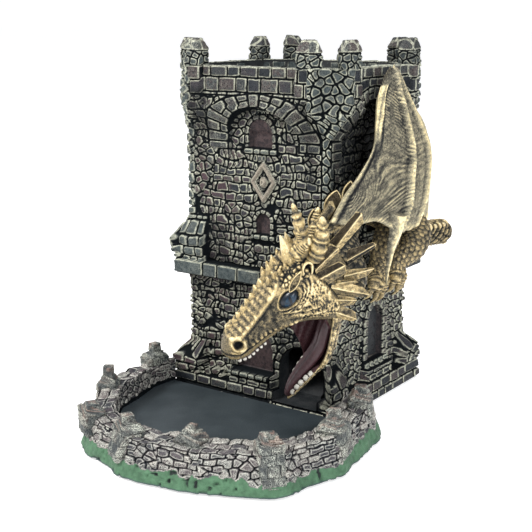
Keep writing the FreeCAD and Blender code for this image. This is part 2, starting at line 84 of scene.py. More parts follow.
def sawtooth(phase, peak, rise_power=1.0, fall_power=1.0):
    """Repeats every 1: climbs from 0 to 1 at the peak, then drops back."""
    share = phase - np.floor(phase)
    fall = np.clip((1 - share) / (1 - peak), 0, 1) ** fall_power
    return np.where(share < peak, (share / peak) ** rise_power, fall)


def noise2(x, y, size, seed, octaves=1):
    """Smooth random field over a surface, 0..1; each further octave is half the size."""
    total, weights = 0, 0
    for octave in range(octaves):
        scale, key = size / 2 ** octave, seed + 17 * octave
        col, row = np.floor(x / scale), np.floor(y / scale)
        x_share, y_share = ease(x / scale - col), ease(y / scale - row)
        low = lerp(hash01(col, row, key), hash01(col + 1, row, key), x_share)
        high = lerp(hash01(col, row + 1, key), hash01(col + 1, row + 1, key), x_share)
        total = total + 0.5 ** octave * lerp(low, high, y_share)
        weights += 0.5 ** octave
    return total / weights


def ripple(x, y, size, seed, octaves=1):
    """noise2 centred on zero."""
    return noise2(x, y, size, seed, octaves) - 0.5


def noise3(points, size, seed):
    """Smooth random field in space, 0..1."""
    cell = np.floor(points / size)
    share = ease(points / size - cell)
    total = 0
    for step in np.ndindex(2, 2, 2):
        weight = 1
        for axis in range(3):
            part = share[..., axis]
            weight = weight * (part if step[axis] else 1 - part)
        total = total + weight * hash01(*[cell[..., k] + step[k] for k in range(3)], seed)
    return total


def poly_dist(x, y, points):
    """Distance to a chain of straight segments."""
    nearest = np.full(np.shape(x), 1e9)
    for (x0, y0), (x1, y1) in zip(points[:-1], points[1:]):
        along_x, along_y = x1 - x0, y1 - y0
        share = (x - x0) * along_x + (y - y0) * along_y
        share = np.clip(share / (along_x ** 2 + along_y ** 2), 0, 1)
        gap = np.hypot(x - x0 - share * along_x, y - y0 - share * along_y)
        nearest = np.minimum(nearest, gap)
    return nearest


def unit(vector):
    return vector / (np.linalg.norm(vector, axis=-1, keepdims=True) + 1e-12)


# ======================================================================================
# Stone patterns. A stone field is a tuple: distance to the nearest joint, a random number
# for the stone, and the place measured from the stone's centre (along the wall, up the wall).
# ======================================================================================


def rubble(run, rise, width, height, seed, jitter=1.0, wrap=None, warp=0.8):
    """Irregular fitted stones; wrap is the length after which the pattern repeats."""
    run = run + warp * 2 * ripple(run, rise, 5.0, seed + 5, 2)
    rise = rise + warp * 2 * ripple(run, rise, 5.0, seed + 9, 2)
    count = int(round(wrap / width)) if wrap else None
    if wrap:
        width = wrap / count
    aspect = width / height
    centres_x, centres_y, numbers = [], [], []
    for row_step in (-2, -1, 0, 1, 2):
        row = np.floor(rise / height) + row_step
        shift = 0.5 * np.mod(row, 2) + 0.35 * hash01(row, seed + 1)
        for col_step in (-1, 0, 1):
            col = np.floor(run / width - shift) + col_step
            key = np.mod(col, count) if count else col
            jitter_x = jitter * (hash01(key, row, seed + 2) - 0.5)
            jitter_y = jitter * (hash01(key, row, seed + 3) - 0.5)
            centres_x.append((col + shift + 0.5 + jitter_x) * width)
            centres_y.append((row + 0.5 + jitter_y) * height * aspect)
            numbers.append(hash01(key, row, seed + 4))
    centres_x, centres_y, numbers = map(np.stack, (centres_x, centres_y, numbers))
    rise = rise * aspect
    nearest = np.argmin((centres_x - run) ** 2 + (centres_y - rise) ** 2, 0)[None]
    x, y, number = (np.take_along_axis(values, nearest, 0)[0]
                    for values in (centres_x, centres_y, numbers))
    gap_x, gap_y = centres_x - x, centres_y - y
    gap = np.sqrt(gap_x * gap_x + gap_y * gap_y) + 1e-9
    joint = (((centres_x + x) / 2 - run) * gap_x + ((centres_y + y) / 2 - rise) * gap_y) / gap
    joint[gap < 1e-6] = 1e9
    # distances up the wall were stretched by the aspect, so bring them back
    stretch = np.sqrt((gap_x / gap) ** 2 + (gap_y / gap * aspect) ** 2)
    joint = joint / np.maximum(stretch, 1e-6)
    return np.min(joint, 0), number, run - x, (rise - y) / aspect


def blocks(run, rise, width, height, seed, base=0.0, wrap=None, wobble=0.35):
    """Coursed squared blocks of varying width; the first course starts at base."""
    run = run + wobble * 2 * ripple(run, rise, 4.0, seed + 5, 2)
    rise = rise + wobble * 2 * ripple(run, rise, 4.0, seed + 9, 2)
    row = np.floor((rise - base) / height)
    count = max(1, int(round(wrap / width))) if wrap else None
    if wrap:
        width = wrap / count
    x = run / width + 0.5 * np.mod(row, 2)

    def key(col):
        return np.mod(col, count) if count else col

    def side(col):
        return col + 0.38 * (hash01(key(col), row, seed) - 0.5)
    col = np.floor(x)
    col = np.where(x < side(col), col - 1, np.where(x > side(col + 1), col + 1, col))
    left, right = side(col), side(col + 1)
    across = np.minimum((x - left) * width, (right - x) * width)
    upright = np.minimum(rise - base - row * height, (row + 1) * height - rise + base)
    return (np.minimum(across, upright), hash01(key(col), row, seed + 4),
            (x - (left + right) / 2) * width, rise - base - (row + 0.5) * height)


def ring_stones(run, pitch, depth, *keys):
    """Wedge stones set round an arch."""
    place = np.mod(run, pitch) - pitch / 2
    return pitch / 2 - np.abs(place), hash01(np.floor(run / pitch), *keys), place, depth


def choose(mask, field, other):
    """One stone field where the mask is set, another elsewhere."""
    return tuple(np.where(mask, first, second) for first, second in zip(field, other))


def stone_height(field, run, rise, seed, deep=1.45, rounding=0.95, tilt=0.05, lift=0.42,
                 rough=0.34):
    """Relief of a stone field: sunken joints, uneven tilted stones, rough faces."""
    joint, number, x, y = field
    first = hash01(np.floor(number * 9973), seed)
    second = hash01(np.floor(number * 9973), seed + 1)
    body = smooth(joint, 0.1, rounding)
    height = -deep * (1 - smooth(joint, 0.0, rounding)) + lift * (number - 0.5) * 2 * body
    height = height + tilt * ((first - 0.5) * 2 * x + (second - 0.5) * 2 * y) * body
    grain = ripple(run + 31 * first, rise + 17 * second, 1.9, seed + 2, 3)
    return height + rough * grain * 2 * smooth(joint, 0.05, 0.7)


# ======================================================================================
# Meshes
# ======================================================================================


def grid_faces(rows, cols, closed=False, flip=False):
    row = np.arange(rows - 1)[:, None]
    col = np.arange(cols if closed else cols - 1)[None, :]
    after = (col + 1) % cols
    corners = (row * cols + col, row * cols + after,
               (row + 1) * cols + after, (row + 1) * cols + col)
    faces = np.stack(np.broadcast_arrays(*corners), -1).reshape(-1, 4)
    return faces[:, ::-1] if flip else faces


def make_object(name, points, quads, triangles, values, material, body, smoothed=True):
    """Writes a mesh with its point attributes, paints it and tells the frame where it belongs."""
    mesh = bpy.data.meshes.new(name)
    mesh.vertices.add(len(points))
    metres = (np.asarray(points, np.float64) * MM).astype(np.float32)
    mesh.vertices.foreach_set("co", metres.ravel())
    loops = np.concatenate([quads.ravel(), triangles.ravel()]).astype(np.int32)
    starts = np.concatenate([np.arange(len(quads)) * 4,
                             len(quads) * 4 + np.arange(len(triangles)) * 3]).astype(np.int32)
    mesh.loops.add(len(loops))
    mesh.loops.foreach_set("vertex_index", loops)
    mesh.polygons.add(len(starts))
    mesh.polygons.foreach_set("loop_start", starts)
    mesh.update(calc_edges=True)
    mesh.validate()
    if smoothed:
        mesh.polygons.foreach_set("use_smooth", np.ones(len(mesh.polygons), bool))
    for key, value in values.items():
        attribute = mesh.attributes.new(key, "FLOAT", "POINT")
        attribute.data.foreach_set("value", np.asarray(value, np.float32).ravel())
    obj = bpy.data.objects.new(name, mesh)
    bpy.context.scene.collection.objects.link(obj)
    mesh.materials.append(material)
    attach(obj, body)
    return obj


NO_TRIANGLES = np.zeros((0, 3), int)


class Parts:
    """Collects point grids and caps into one mesh. Attributes that aren't given stay 0."""

    def __init__(self, *attributes):
        self.points, self.quads, self.triangles = [], [], [NO_TRIANGLES]
        self.values = {name: [] for name in attributes}
        self.count = 0

    def add(self, points, values):
        for name, value in values.items():
            spread = np.broadcast_to(np.asarray(value, float), points.shape[:-1]).ravel()
            self.values[name].append((self.count, spread))
        self.points.append(points.reshape(-1, 3))
        self.count += len(self.points[-1])

    def grid(self, points, closed=False, flip=False, keep=None, **values):
        quads = grid_faces(*points.shape[:2], closed, flip)
        if keep is not None:
            quads = quads[keep.ravel()[quads].all(1)]
        self.quads.append(quads + self.count)
        self.add(points, values)

    def cap(self, ring, flip=False, **values):
        """A fan that closes a ring of points."""
        size = len(ring)
        j = np.arange(size)
        fan = np.stack([np.full(size, size), j, (j + 1) % size], -1) + self.count
        self.triangles.append(fan[:, ::-1] if flip else fan)
        self.add(np.vstack([ring, ring.mean(0)]), values)

    def tube(self, points, start, end, flip=False, **values):
        """A closed grid capped at both ends; start and end are the caps' values."""
        self.grid(points, closed=True, flip=flip, **values)
        self.cap(points[0], flip=not flip, **start)
        self.cap(points[-1], flip=flip, **end)

    def make(self, name, material, body, slot):
        values = {}
        for key, pieces in self.values.items():
            values[key] = np.zeros(self.count)
            for start, piece in pieces:
                values[key][start:start + len(piece)] = piece
        return make_object(name, np.vstack(self.points), np.vstack(self.quads),
                           np.vstack(self.triangles), values, material, body)


def repaint(node, material):
    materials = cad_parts[node].data.materials
    materials.clear()
    materials.append(material)


# ======================================================================================
# Paint
# ======================================================================================


class Signal:
    """A node output that can be added, subtracted and multiplied."""

    def __init__(self, paint, socket):
        self.paint, self.socket = paint, socket

    def __add__(self, other):
        return self.paint.math("ADD", self, other)

    def __sub__(self, other):
        return self.paint.math("SUBTRACT", self, other)

    def __rsub__(self, other):
        return self.paint.math("SUBTRACT", other, self)

    def __mul__(self, other):
        return self.paint.math("MULTIPLY", self, other)


class Paint:
    """Builds a node material that ends in a Principled shader."""

    def __init__(self, name):
        self.material = bpy.data.materials.new(name)
        self.material.use_nodes = True
        self.tree = self.material.node_tree
        self.tree.nodes.clear()
        output = self.tree.nodes.new("ShaderNodeOutputMaterial")
        self.shader = self.tree.nodes.new("ShaderNodeBsdfPrincipled")
        self.tree.links.new(self.shader.outputs[0], output.inputs[0])

    def put(self, socket, value):
        if isinstance(value, Signal):
            self.tree.links.new(value.socket, socket)
        elif isinstance(value, tuple):
            socket.default_value = (*value, 1.0)
        else:
            socket.default_value = value

    def node(self, kind, output, inputs, **settings):
        node = self.tree.nodes.new(kind)
        for key, value in settings.items():
            setattr(node, key, value)
        for key, value in inputs.items():
            self.put(node.inputs[key], value)
        return Signal(self, node.outputs[output])

    def attribute(self, name):
        return self.node("ShaderNodeAttribute", "Fac", {}, attribute_name=name)

    def coord(self):
        return self.node("ShaderNodeTexCoord", "Object", {})

    def noise(self, scale, detail, rough):
        return self.node("ShaderNodeTexNoise", "Fac", {
            "Scale": scale, "Detail": detail, "Roughness": rough, "Vector": self.coord()})

    def voronoi(self, scale):
        return self.node("ShaderNodeTexVoronoi", "Distance",
                         {"Scale": scale, "Vector": self.coord()})

    def math(self, operation, first, second, clamp=False):
        return self.node("ShaderNodeMath", 0, {0: first, 1: second},
                         operation=operation, use_clamp=clamp)

    def step(self, value, start, end, before=0.0, after=1.0):
        """Eases from one level to another while the value goes from start to end."""
        return self.node("ShaderNodeMapRange", 0, {
            "Value": value, "From Min": start, "From Max": end,
            "To Min": before, "To Max": after}, interpolation_type="SMOOTHSTEP")

    def fall(self, value, start, end):
        return self.step(value, start, end, before=1.0, after=0.0)

    def ramp(self, value, stops):
        ramp = self.tree.nodes.new("ShaderNodeValToRGB")
        elements = ramp.color_ramp.elements
        while len(elements) < len(stops):
            elements.new(0.5)
        for element, (position, color) in zip(elements, stops):
            element.position = position
            element.color = (*color, 1)
        self.put(ramp.inputs[0], value)
        return Signal(self, ramp.outputs[0])

    def mix(self, share, first, second):
        return self.node("ShaderNodeMix", 2, {0: share, 6: first, 7: second},
                         data_type="RGBA", clamp_factor=True)

    def mottle(self, field, first, second, start, end):
        """One colour turning to another as the field goes from start to end."""
        return self.mix(self.step(field, start, end), first, second)

    def bump(self, height, strength, distance):
        return self.node("ShaderNodeBump", 0, {
            "Strength": strength, "Distance": distance, "Height": height})

    def finish(self, color, rough, specular, normal=None, metal=0.0, coat=0.0,
               coat_rough=0.2, sheen=0.0):
        inputs = {"Base Color": color, "Roughness": rough, "Metallic": metal,
                  "Specular IOR Level": specular, "Coat Weight": coat,
                  "Coat Roughness": coat_rough, "Sheen Weight": sheen}
        if normal is not None:
            inputs["Normal"] = normal
        for key, value in inputs.items():
            self.put(self.shader.inputs[key], value)
        return self.material


GROOVE = (0.0045, 0.0060, 0.0072)


def stone_paint(name, tones, cream, tan, grain_start, rub, joint=(0.16, 0.46), plum=1.0,
                rim_gain=1.0, relief_range=(0.30, 1.10)):
    """Painted stone: dark wash in the joints, tinted stones, dry-brushed edges.

    grain_start and rub set where and how strongly high spots are brushed, relief_range how
    high they lie, joint how wide the wash is (mm), plum and rim_gain the strength of the
    plum tint and of the brushed rims.
    """
    paint = Paint(name)
    edge, number, relief = map(paint.attribute, ("edge", "rnd", "relief"))
    fine = paint.noise(scale=2300, detail=5, rough=0.68)
    mid = paint.noise(scale=560, detail=4, rough=0.6)
    broad = paint.noise(scale=90, detail=2, rough=0.5)
    # the stone's own number sets its tone, and the noises vary it
    tone = number * 0.80 + (mid - 0.5) * 0.55
    tone = tone + (broad - 0.45) * 0.25
    base = paint.ramp(tone, tones)
    # scratches and pits stay dark
    pits = paint.step(fine, start=0.40, end=0.52)
    base = paint.mix((1.0 - pits) * 0.72, base, GROOVE)
    # dry-brushing catches a broken band along the rims and the roughest high spots
    ragged = edge + (mid - 0.5) * 0.55
    rim = (paint.step(ragged, start=0.44, end=0.60)
           * paint.fall(ragged, start=0.70, end=1.16)) * rim_gain
    rim = rim * paint.step(fine, start=0.30, end=0.52)
    rim = rim * paint.step(mid, start=0.30, end=0.56, before=0.35)
    patches = paint.noise(scale=210, detail=3, rough=0.6)
    rim = rim * paint.step(patches, start=0.32, end=0.58, before=0.45)
    high = paint.step(relief, *relief_range)
    high = high * paint.step(fine, start=grain_start, end=grain_start + 0.16) * rub
    brushed = paint.math("MAXIMUM", rim, high, clamp=True)
    # stones of kind 2 and 3 are greyer
    grey = paint.step(paint.attribute("kind"), start=1.2, end=1.8) * 0.65
    greys = paint.mottle(mid, (0.030, 0.044, 0.046), (0.092, 0.114, 0.110),
                         start=0.35, end=0.65)
    base = paint.mix(grey, base, greys)
    dull_cream = tuple(channel * 0.82 for channel in cream)
    color = paint.mix(brushed, base,
                      paint.mottle(broad, cream, dull_cream, start=0.35, end=0.7))
    # wash in the joints, its border broken by fine noise
    wash = paint.fall(edge + (fine - 0.5) * 0.30, *joint)
    color = paint.mix(wash, color, GROOVE)
    kind = paint.attribute("kind")
    tan_share = paint.attribute("tan") * paint.step(fine, start=0.36, end=0.56,
                                                    before=0.25, after=0.85)
    color = paint.mix(tan_share, color, tan)
    # plum patches on the ordinary stones, fading out towards +X
    x = paint.node("ShaderNodeSeparateXYZ", 0, {0: paint.coord()})
    patch = paint.fall(x, start=-0.030, end=0.012)
    patch = patch * paint.step(paint.noise(scale=95, detail=2, rough=0.5),
                               start=0.42, end=0.60)
    ordinary = paint.step(edge, start=0.6, end=1.0)
    ordinary = ordinary * paint.step(kind, start=0.2, end=0.8, before=plum, after=0.0)
    color = paint.mix(patch * ordinary * 0.45, color, (0.085, 0.040, 0.046))
    # sunken window panels, then painted shade wherever the dim attribute is set
    panel = paint.mottle(mid, (0.022, 0.017, 0.019), (0.062, 0.042, 0.042),
                         start=0.35, end=0.65)
    color = paint.mix(paint.attribute("win"), color, paint.mix(wash * 0.8, panel, GROOVE))
    shade = paint.attribute("dim") * paint.step(brushed, start=0.0, end=1.0,
                                                before=0.90, after=0.74)
    color = paint.mix(shade, color, (0.0055, 0.0068, 0.0080))
    normal = paint.bump(fine * 0.8 + mid * 0.9, strength=0.75, distance=0.00032)
    rough = paint.step(brushed, start=0.0, end=1.0, before=0.62, after=0.70)
    matt = paint.math("MAXIMUM", wash, (1.0 - pits) * 0.8, clamp=True)
    return paint.finish(color, rough, normal=normal,
                        specular=paint.step(matt, start=0.0, end=1.0, before=0.26, after=0.03))


# Tones are (place on the ramp, colour), darkest stones first.
KEEP_STONE = stone_paint(
    "keep_stone_paint",
    [(0.0, (0.010, 0.013, 0.017)), (0.22, (0.024, 0.028, 0.034)),
     (0.38, (0.038, 0.032, 0.038)), (0.52, (0.030, 0.037, 0.040)),
     (0.66, (0.060, 0.042, 0.043)), (0.80, (0.048, 0.057, 0.059)),
     (0.92, (0.084, 0.080, 0.072)), (1.0, (0.120, 0.122, 0.108))],
    cream=(0.560, 0.565, 0.445), tan=(0.37, 0.325, 0.255), grain_start=0.48, rub=0.46,
    joint=(0.30, 0.60))
TRAY_STONE = stone_paint(
    "tray_stone_paint",
    [(0.0, (0.032, 0.036, 0.043)), (0.25, (0.078, 0.072, 0.080)),
     (0.45, (0.130, 0.108, 0.110)), (0.60, (0.126, 0.128, 0.126)),
     (0.80, (0.245, 0.215, 0.200)), (1.0, (0.370, 0.350, 0.312))],
    cream=(0.70, 0.70, 0.62), tan=(0.42, 0.26, 0.20), grain_start=0.46, rub=0.85,
    plum=0.4, rim_gain=0.70, relief_range=(0.0, 0.80))
POST_STONE = stone_paint(
    "tray_post_paint",
    [(0.0, (0.022, 0.030, 0.034)), (0.30, (0.055, 0.063, 0.066)),
     (0.55, (0.092, 0.096, 0.092)), (0.75, (0.115, 0.092, 0.086)),
     (1.0, (0.200, 0.202, 0.180))],
    cream=(0.60, 0.62, 0.53), tan=(0.44, 0.26, 0.20), grain_start=0.44, rub=0.90,
    plum=0.0, rim_gain=0.35, relief_range=(-0.25, 0.70))

# ======================================================================================
# The keep. Faces are numbered 0 front (-Y), 1 right (+X), 2 back (+Y), 3 left (-X).
# ======================================================================================
PAD_T = 1.2                             # felt under everything
SHAFT_X, SHAFT_Y = 44.0, 41.0           # half sizes of the shaft
SHAFT_CUT, SHAFT_BEVEL = 0.6, 1.4       # its corner cut, and the run counted over it
HEAD_X, HEAD_Y, HEAD_CUT = 52.5, 49.5, 14.3     # half sizes and corner cut of the head block
RIM_Z = 176.0
CORBEL_Z, BLOCK_Z = 142.0, 155.0        # the corbels widen the shaft between these heights
PLINTH_Z, STEP_Z, SILL_Z = 11.0, 15.0, 17.5
COURSE_Z, COURSE_TOP_Z = 66.0, 73.0     # the string course
ARCH_X, ARCH_R, ARCH_SPRING, ARCH_SILL = 28.5, 13.5, 22.0, 6.6      # exit arch
SIDE_X, SIDE_Y = 2 * (SHAFT_X - SHAFT_CUT), 2 * (SHAFT_Y - SHAFT_CUT)
PERIMETER = 2 * SIDE_X + 2 * SIDE_Y + 4 * SHAFT_BEVEL
FACE_START = np.cumsum([0.0, SIDE_X + SHAFT_BEVEL, SIDE_Y + SHAFT_BEVEL, SIDE_X + SHAFT_BEVEL])
FACE_OUT = np.array([(0, -1), (1, 0), (0, 1), (-1, 0)])
FACE_ALONG = np.array([(1, 0), (0, 1), (-1, 0), (0, -1)])
STONE = ("edge", "rnd", "relief", "win")        # attributes every stone mesh carries

# face, centre, sill, spring, radius, depth, frame width, frame lift
WINDOWS = [
    (0, 3.0, 135.6, 143.0, 7.0, 2.6, 2.6, 0.7),
    (0, 4.9, 91.8, 98.2, 4.2, 2.2, 2.4, 0.9),
    (0, -0.5, 18.2, 30.0, 11.0, 2.6, 3.4, 1.0),
    (1, 7.0, 20.5, 42.0, 8.0, 3.2, 4.2, 1.2),
    (1, 4.0, 92.0, 112.0, 8.0, 2.6, 3.2, 0.8),
    (2, 0.0, 92.0, 112.0, 8.0, 2.6, 3.6, 1.1),
    (3, 0.0, 92.0, 112.0, 8.0, 2.6, 3.6, 1.1),
    (2, 0.0, 22.0, 44.0, 9.0, 2.6, 4.0, 1.2),
    (3, 0.0, 22.0, 44.0, 9.0, 2.6, 4.0, 1.2),
]
# face, centre, spring and radius of the arch under the head block
HEAD_ARCHES = [(0, 4.5, 139.5, 17.0), (1, -9.0, 139.0, 21.0),
               (2, 0.0, 139.5, 17.0), (3, 0.0, 139.5, 17.0)]
# face, from and to along it, from and to in height, strength, softness of the patches of painted
# shade; the low one on the front by the exit arch stands for the dragon's shadow and some dirt
SHADED_PATCHES = [
    (0, -37, -26, 140, 165, 1.0, 2.0), (0, -31, -18, 74, 95, 1.0, 2.5),
    (0, 30, 36, 118, 162, 0.8, 2.5), (0, 22, 44, 140, 156, 0.45, 2.5),
    (0, -44, -30, 126, 146, 0.45, 2.5), (0, 8, 46, 8, 44, 0.85, 4.0),
    (0, -46, -30, 52, 66, 0.6, 2.5), (1, -40, -20, 16, 34, 0.55, 2.5),
    (1, 12, 40, 60, 105, 0.75, 4.0), (2, -30, -14, 75, 93, 0.6, 2.5),
    (3, 18, 32, 75, 93, 0.6, 2.5),
]


def arch_gap(x, z, centre, sill, spring, radius):
    """Signed distance to an arched opening (negative inside) and the run along its outline."""
    gap = np.where(z > spring, np.hypot(x - centre, z - spring) - radius,
                   np.abs(x - centre) - radius)
    gap = np.where(z < sill, np.maximum(gap, sill - z), gap)
    angle = np.arctan2(z - spring, x - centre)
    foot = np.where(x > centre, z - spring, (radius + 1.5) * math.pi - (z - spring))
    return gap, np.where(z > spring, angle * (radius + 1.5), foot)


def keep_rows():
    """Height of each row, and on a ledge the share (0..1) of the way over it."""
    rows = []

    def wall(low, high):
        count = max(2, int(round((high - low) / 0.6)))
        rows.extend((low + (high - low) * i / count, 0.0) for i in range(count))

    low = PAD_T + 0.05
    for z, steps in ((PLINTH_Z, 11), (STEP_Z, 7), (SILL_Z, 7), (COURSE_Z, 9),
                     (COURSE_TOP_Z, 9)):
        wall(low, z)
        rows.extend((z, i / steps) for i in range(steps + 1))
        low = z
    wall(low, RIM_Z)
    rows.append((RIM_Z, 0.0))
    rows = np.array(rows)
    keep = np.ones(len(rows), bool)
    keep[1:] = np.abs(np.diff(rows, axis=0)).sum(1) > 1e-6
    return rows[keep]


def keep_columns():
    """Face, place along it (-1..1) and the share of the way over the bevel after it."""
    columns = []
    for face, count in ((0, 150), (1, 140), (2, 150), (3, 140)):
        columns.extend((face, -1 + 2 * i / (count - 1), 0.0) for i in range(count))
        columns.extend((face, 1.0, i / 30.0) for i in range(1, 30))
    face, place, turn = np.array(columns).T
    return face.astype(int), place, turn


def keep_plan(z):
    """Half sizes and corner cut at a height."""
    share = np.clip((z - CORBEL_Z) / (BLOCK_Z - CORBEL_Z), 0, 1)
    return (lerp(SHAFT_X, HEAD_X, share), lerp(SHAFT_Y, HEAD_Y, share),
            lerp(SHAFT_CUT, HEAD_CUT, share))


def broached(face, along):
    """The faces' halves beside the corners that carry broaches, away from the dragon."""
    return ((face == 0) & (along < 0)) | (face == 3) | ((face == 2) & (along > 0))


def stand_off(z, face, along, reach):
    """How far the wall stands out from the shaft's plane, before any stones."""
    front, along_x = face == 0, face % 2 == 0
    out = np.where(z < PLINTH_Z, 7.5 - 0.09 * z, 0.0)
    pier = reach > np.where(along_x, 33.0, 30.0)
    pier = pier & ~(front & (along > 0) & (along < 42.6)) & (z >= PLINTH_Z)
    out = np.where(pier & (z < 20), 7.1, out)
    out = np.where(pier & (z >= 20) & (z < 28.0), 7.1 * (1 - (z - 20) / 8.0), out)
    step = front & (z >= PLINTH_Z) & (z < STEP_Z) & (along < -20) & (along > -33.5)
    out = np.where(step, 4.2, out)
    sill = (z >= PLINTH_Z) & (z < SILL_Z)
    out = np.where(front & sill & (np.abs(along) < 14.0), 5.0, out)
    centre = np.where(face == 1, 7.0, 0.0)
    out = np.where(~front & sill & (np.abs(along - centre) < 13.0), 4.5, out)
    out = np.where((z >= COURSE_Z) & (z < COURSE_TOP_Z), 6.0, out)
    # broaches taper up from the string course
    start = np.where(along_x, 30.0, 27.0)
    amount = smooth(reach, start, start + 3.0) * broached(face, along)
    amount = amount * np.where(face == 3, 5.5, 3.2)
    bulge = 1 + 0.35 * np.sin(np.pi * np.clip((z - COURSE_TOP_Z) / 22.0, 0, 1))
    broach = amount * bulge * np.clip((97.0 - z) / 12.0, 0, 1)
    out = np.where((z >= COURSE_TOP_Z) & (z < 98), np.maximum(out, broach), out)
    # the parapet wall stands back between the corner piers
    start = np.where(along_x, HEAD_X, HEAD_Y) - HEAD_CUT - 9.5
    back = (1 - smooth(reach, start - 0.4, start + 0.4))
    back = back * smooth(z, BLOCK_Z + 1.0, BLOCK_Z + 2.0)
    out = np.where(reach < 90, out - 2.2 * back, out)
    bevel = (reach > 90) & (z > BLOCK_Z - 6)
    return np.where(bevel, out - 1.6 * smooth(z, BLOCK_Z - 2.0, BLOCK_Z + 2.0), out)


def face_point(face, out, along):
    return FACE_OUT[face] * out[..., None] + FACE_ALONG[face] * along[..., None]


class KeepWall:
    """The outer wall as a grid: rows climb it, columns run round the four faces."""

    def __init__(self, rows, face, place, turn):
        height, ledge = rows.T
        z = np.broadcast_to(height[:, None], (len(height), len(face))).copy()
        face, turn = face[None, :], turn[None, :]
        self.z, self.face, self.turn = z, face, turn
        self.flat = turn == 0
        self.along_x = face % 2 == 0
        half_x, half_y, self.cut = keep_plan(z)
        self.half_along = np.where(self.along_x, half_x, half_y)
        self.half_out = np.where(self.along_x, half_y, half_x)
        self.end = self.half_along - self.cut       # the flat face ends here
        self.along = place[None, :] * self.end
        self.reach = np.where(turn > 0, 99.0, np.abs(self.along))
        low = stand_off(z - 0.01, face, self.along, self.reach)
        high = stand_off(z + 0.01, face, self.along, self.reach)
        out = lerp(low, high, ledge[:, None])
        bulge = np.minimum(1.0, 1.6 * np.sin(np.pi * turn) ** 1.5)
        self.out = np.where((turn > 0) & (z > BLOCK_Z - 6), out * bulge, out)
        # unwrapped run round the keep and rise up it, for the stone patterns
        half = np.where(self.along_x, SHAFT_X, SHAFT_Y) - SHAFT_CUT
        self.run = (FACE_START[face] + half + self.along
                    + turn * (2 * (half - self.end) + SHAFT_BEVEL))
        self.rise = z + self.out * 0.8
        self.kind, self.window, self.recess, self.dim = (np.zeros_like(z) for _ in range(4))
        self.lay_walling()
        self.lay_courses()
        self.lay_head_arches()
        self.shade_patches()
        self.lay_windows()
        self.carve_lozenge()
        self.finish_stones()

    def lay_walling(self):
        """Squared blocks, some split on a slant, changing in places to rubble."""
        run, rise = self.run, self.rise
        joint, number, x, y = blocks(
            run + 4.0 * ripple(run, rise, 8.0, 301, 3),
            rise + 3.8 * ripple(run, rise, 9.0, 305, 3), 6.4, 4.3, 11, 0.0, PERIMETER, 0.5)
        key = np.floor(number * 7919)
        lean = x + (hash01(key, 31) - 0.5) * 2.4 * y * 0.5
        gap = np.abs(lean + (hash01(key, 33) - 0.5) * 1.4)
        split = hash01(key, 35) > 0.52
        joint = np.where(split, np.minimum(joint, gap), joint)
        number = np.where(split, np.mod(number + np.where(lean > 0, 0.37, 0.0), 1.0), number)
        patch = noise2(run, rise, 13.0, 5, 2)
        limit = np.where(self.face == 1, 0.40, 0.56)
        joint, number, x, y = choose(
            patch > limit, rubble(run + 9, rise, 4.8, 3.7, 57, wrap=PERIMETER),
            (joint, number, x, y))
        self.joint = np.minimum(joint, np.abs(patch - limit) * 24)
        self.number = number
        self.height = stone_height((self.joint, number, x, y), run, rise, 3)

    def lay(self, mask, field, lift, kind):
        """Replace the stones where mask (mm inside the area) is above 0, jointed all round."""
        inside = mask > 0
        joint = np.minimum(field[0], np.abs(mask))
        height = stone_height((joint, *field[1:]), self.run, self.rise, 70 + kind,
                              rough=0.24, lift=0.25) + lift * smooth(mask, 0, 0.6)
        self.joint = np.where(inside, joint, np.minimum(self.joint, np.abs(mask)))
        self.height = np.where(inside, height, self.height)
        self.number = np.where(inside, field[1], self.number)
        self.kind = np.where(inside, float(kind), self.kind)

    def shade(self, amount):
        self.dim = np.maximum(self.dim, amount)

    def lay_courses(self):
        z, face, run, rise, flat = self.z, self.face, self.run, self.rise, self.flat
        along, reach, end, along_x = self.along, self.reach, self.end, self.along_x
        # plinth, then the window sills' platforms
        self.lay(11.2 - z, blocks(run, rise, 9.5, 5.6, 21, wrap=PERIMETER), 0.0, 1)
        platform = np.abs(along - np.where(face == 1, 7.0, 0.0)) < 14.4
        platform = platform & (z < 18.0) & (z >= 11.2)
        self.lay(np.where(platform, np.minimum(18.0 - z, z - 10.9), -9),
                 blocks(run, rise, 7.0, 7.2, 23, 10.9, PERIMETER), 0.0, 1)
        # string course
        self.lay(np.minimum(z - 65.6, 73.6 - z),
                 blocks(run, z, 12.0, 8.6, 24, 65.3, PERIMETER, 0.12), 0.15, 2)
        # the broaches are built of upright stones
        broach = broached(face, along) & (z > 73.4) & (z < 98) & flat
        inset = np.minimum(reach - np.where(along_x, 31.0, 28.0), 97.5 - z)
        self.lay(np.where(broach, inset, -9),
                 blocks(run, rise, 4.4, 5.6, 28, COURSE_TOP_Z, PERIMETER, 0.45), 0.2, 3)
        # two courses of big blocks under the rim
        pier = reach > end - 2.5
        self.lay(np.where(pier, -9, np.minimum(z - 161.6, RIM_Z + 5 - z)),
                 blocks(run, rise, 8.8, 7.25, 25, 161.6, PERIMETER, 0.35), 0.1, 1)
        # quoins: small stones up every corner
        corner = (~flat | ((z > 156) & pier)) & (z > 73.6)
        corner = np.where(corner, np.minimum(z - 73.6, 3.0), -9)
        edge = np.minimum(reach - np.where(along_x, SHAFT_X, SHAFT_Y) + 4.6, BLOCK_Z - z)
        edge = np.where(flat & (z > 98) & (z < BLOCK_Z), edge, -9)
        bevel = math.sqrt(2.0) * self.cut
        place = np.where(flat, np.where(along > 0, along - end, bevel + along + end),
                         self.turn * bevel)
        place = place + 60.0 * np.where(along > 0, face, np.mod(face - 1, 4)) + 15.0
        self.lay(np.maximum(corner, edge), rubble(place, rise, 4.9, 4.3, 29, warp=1.0),
                 0.15, 3)

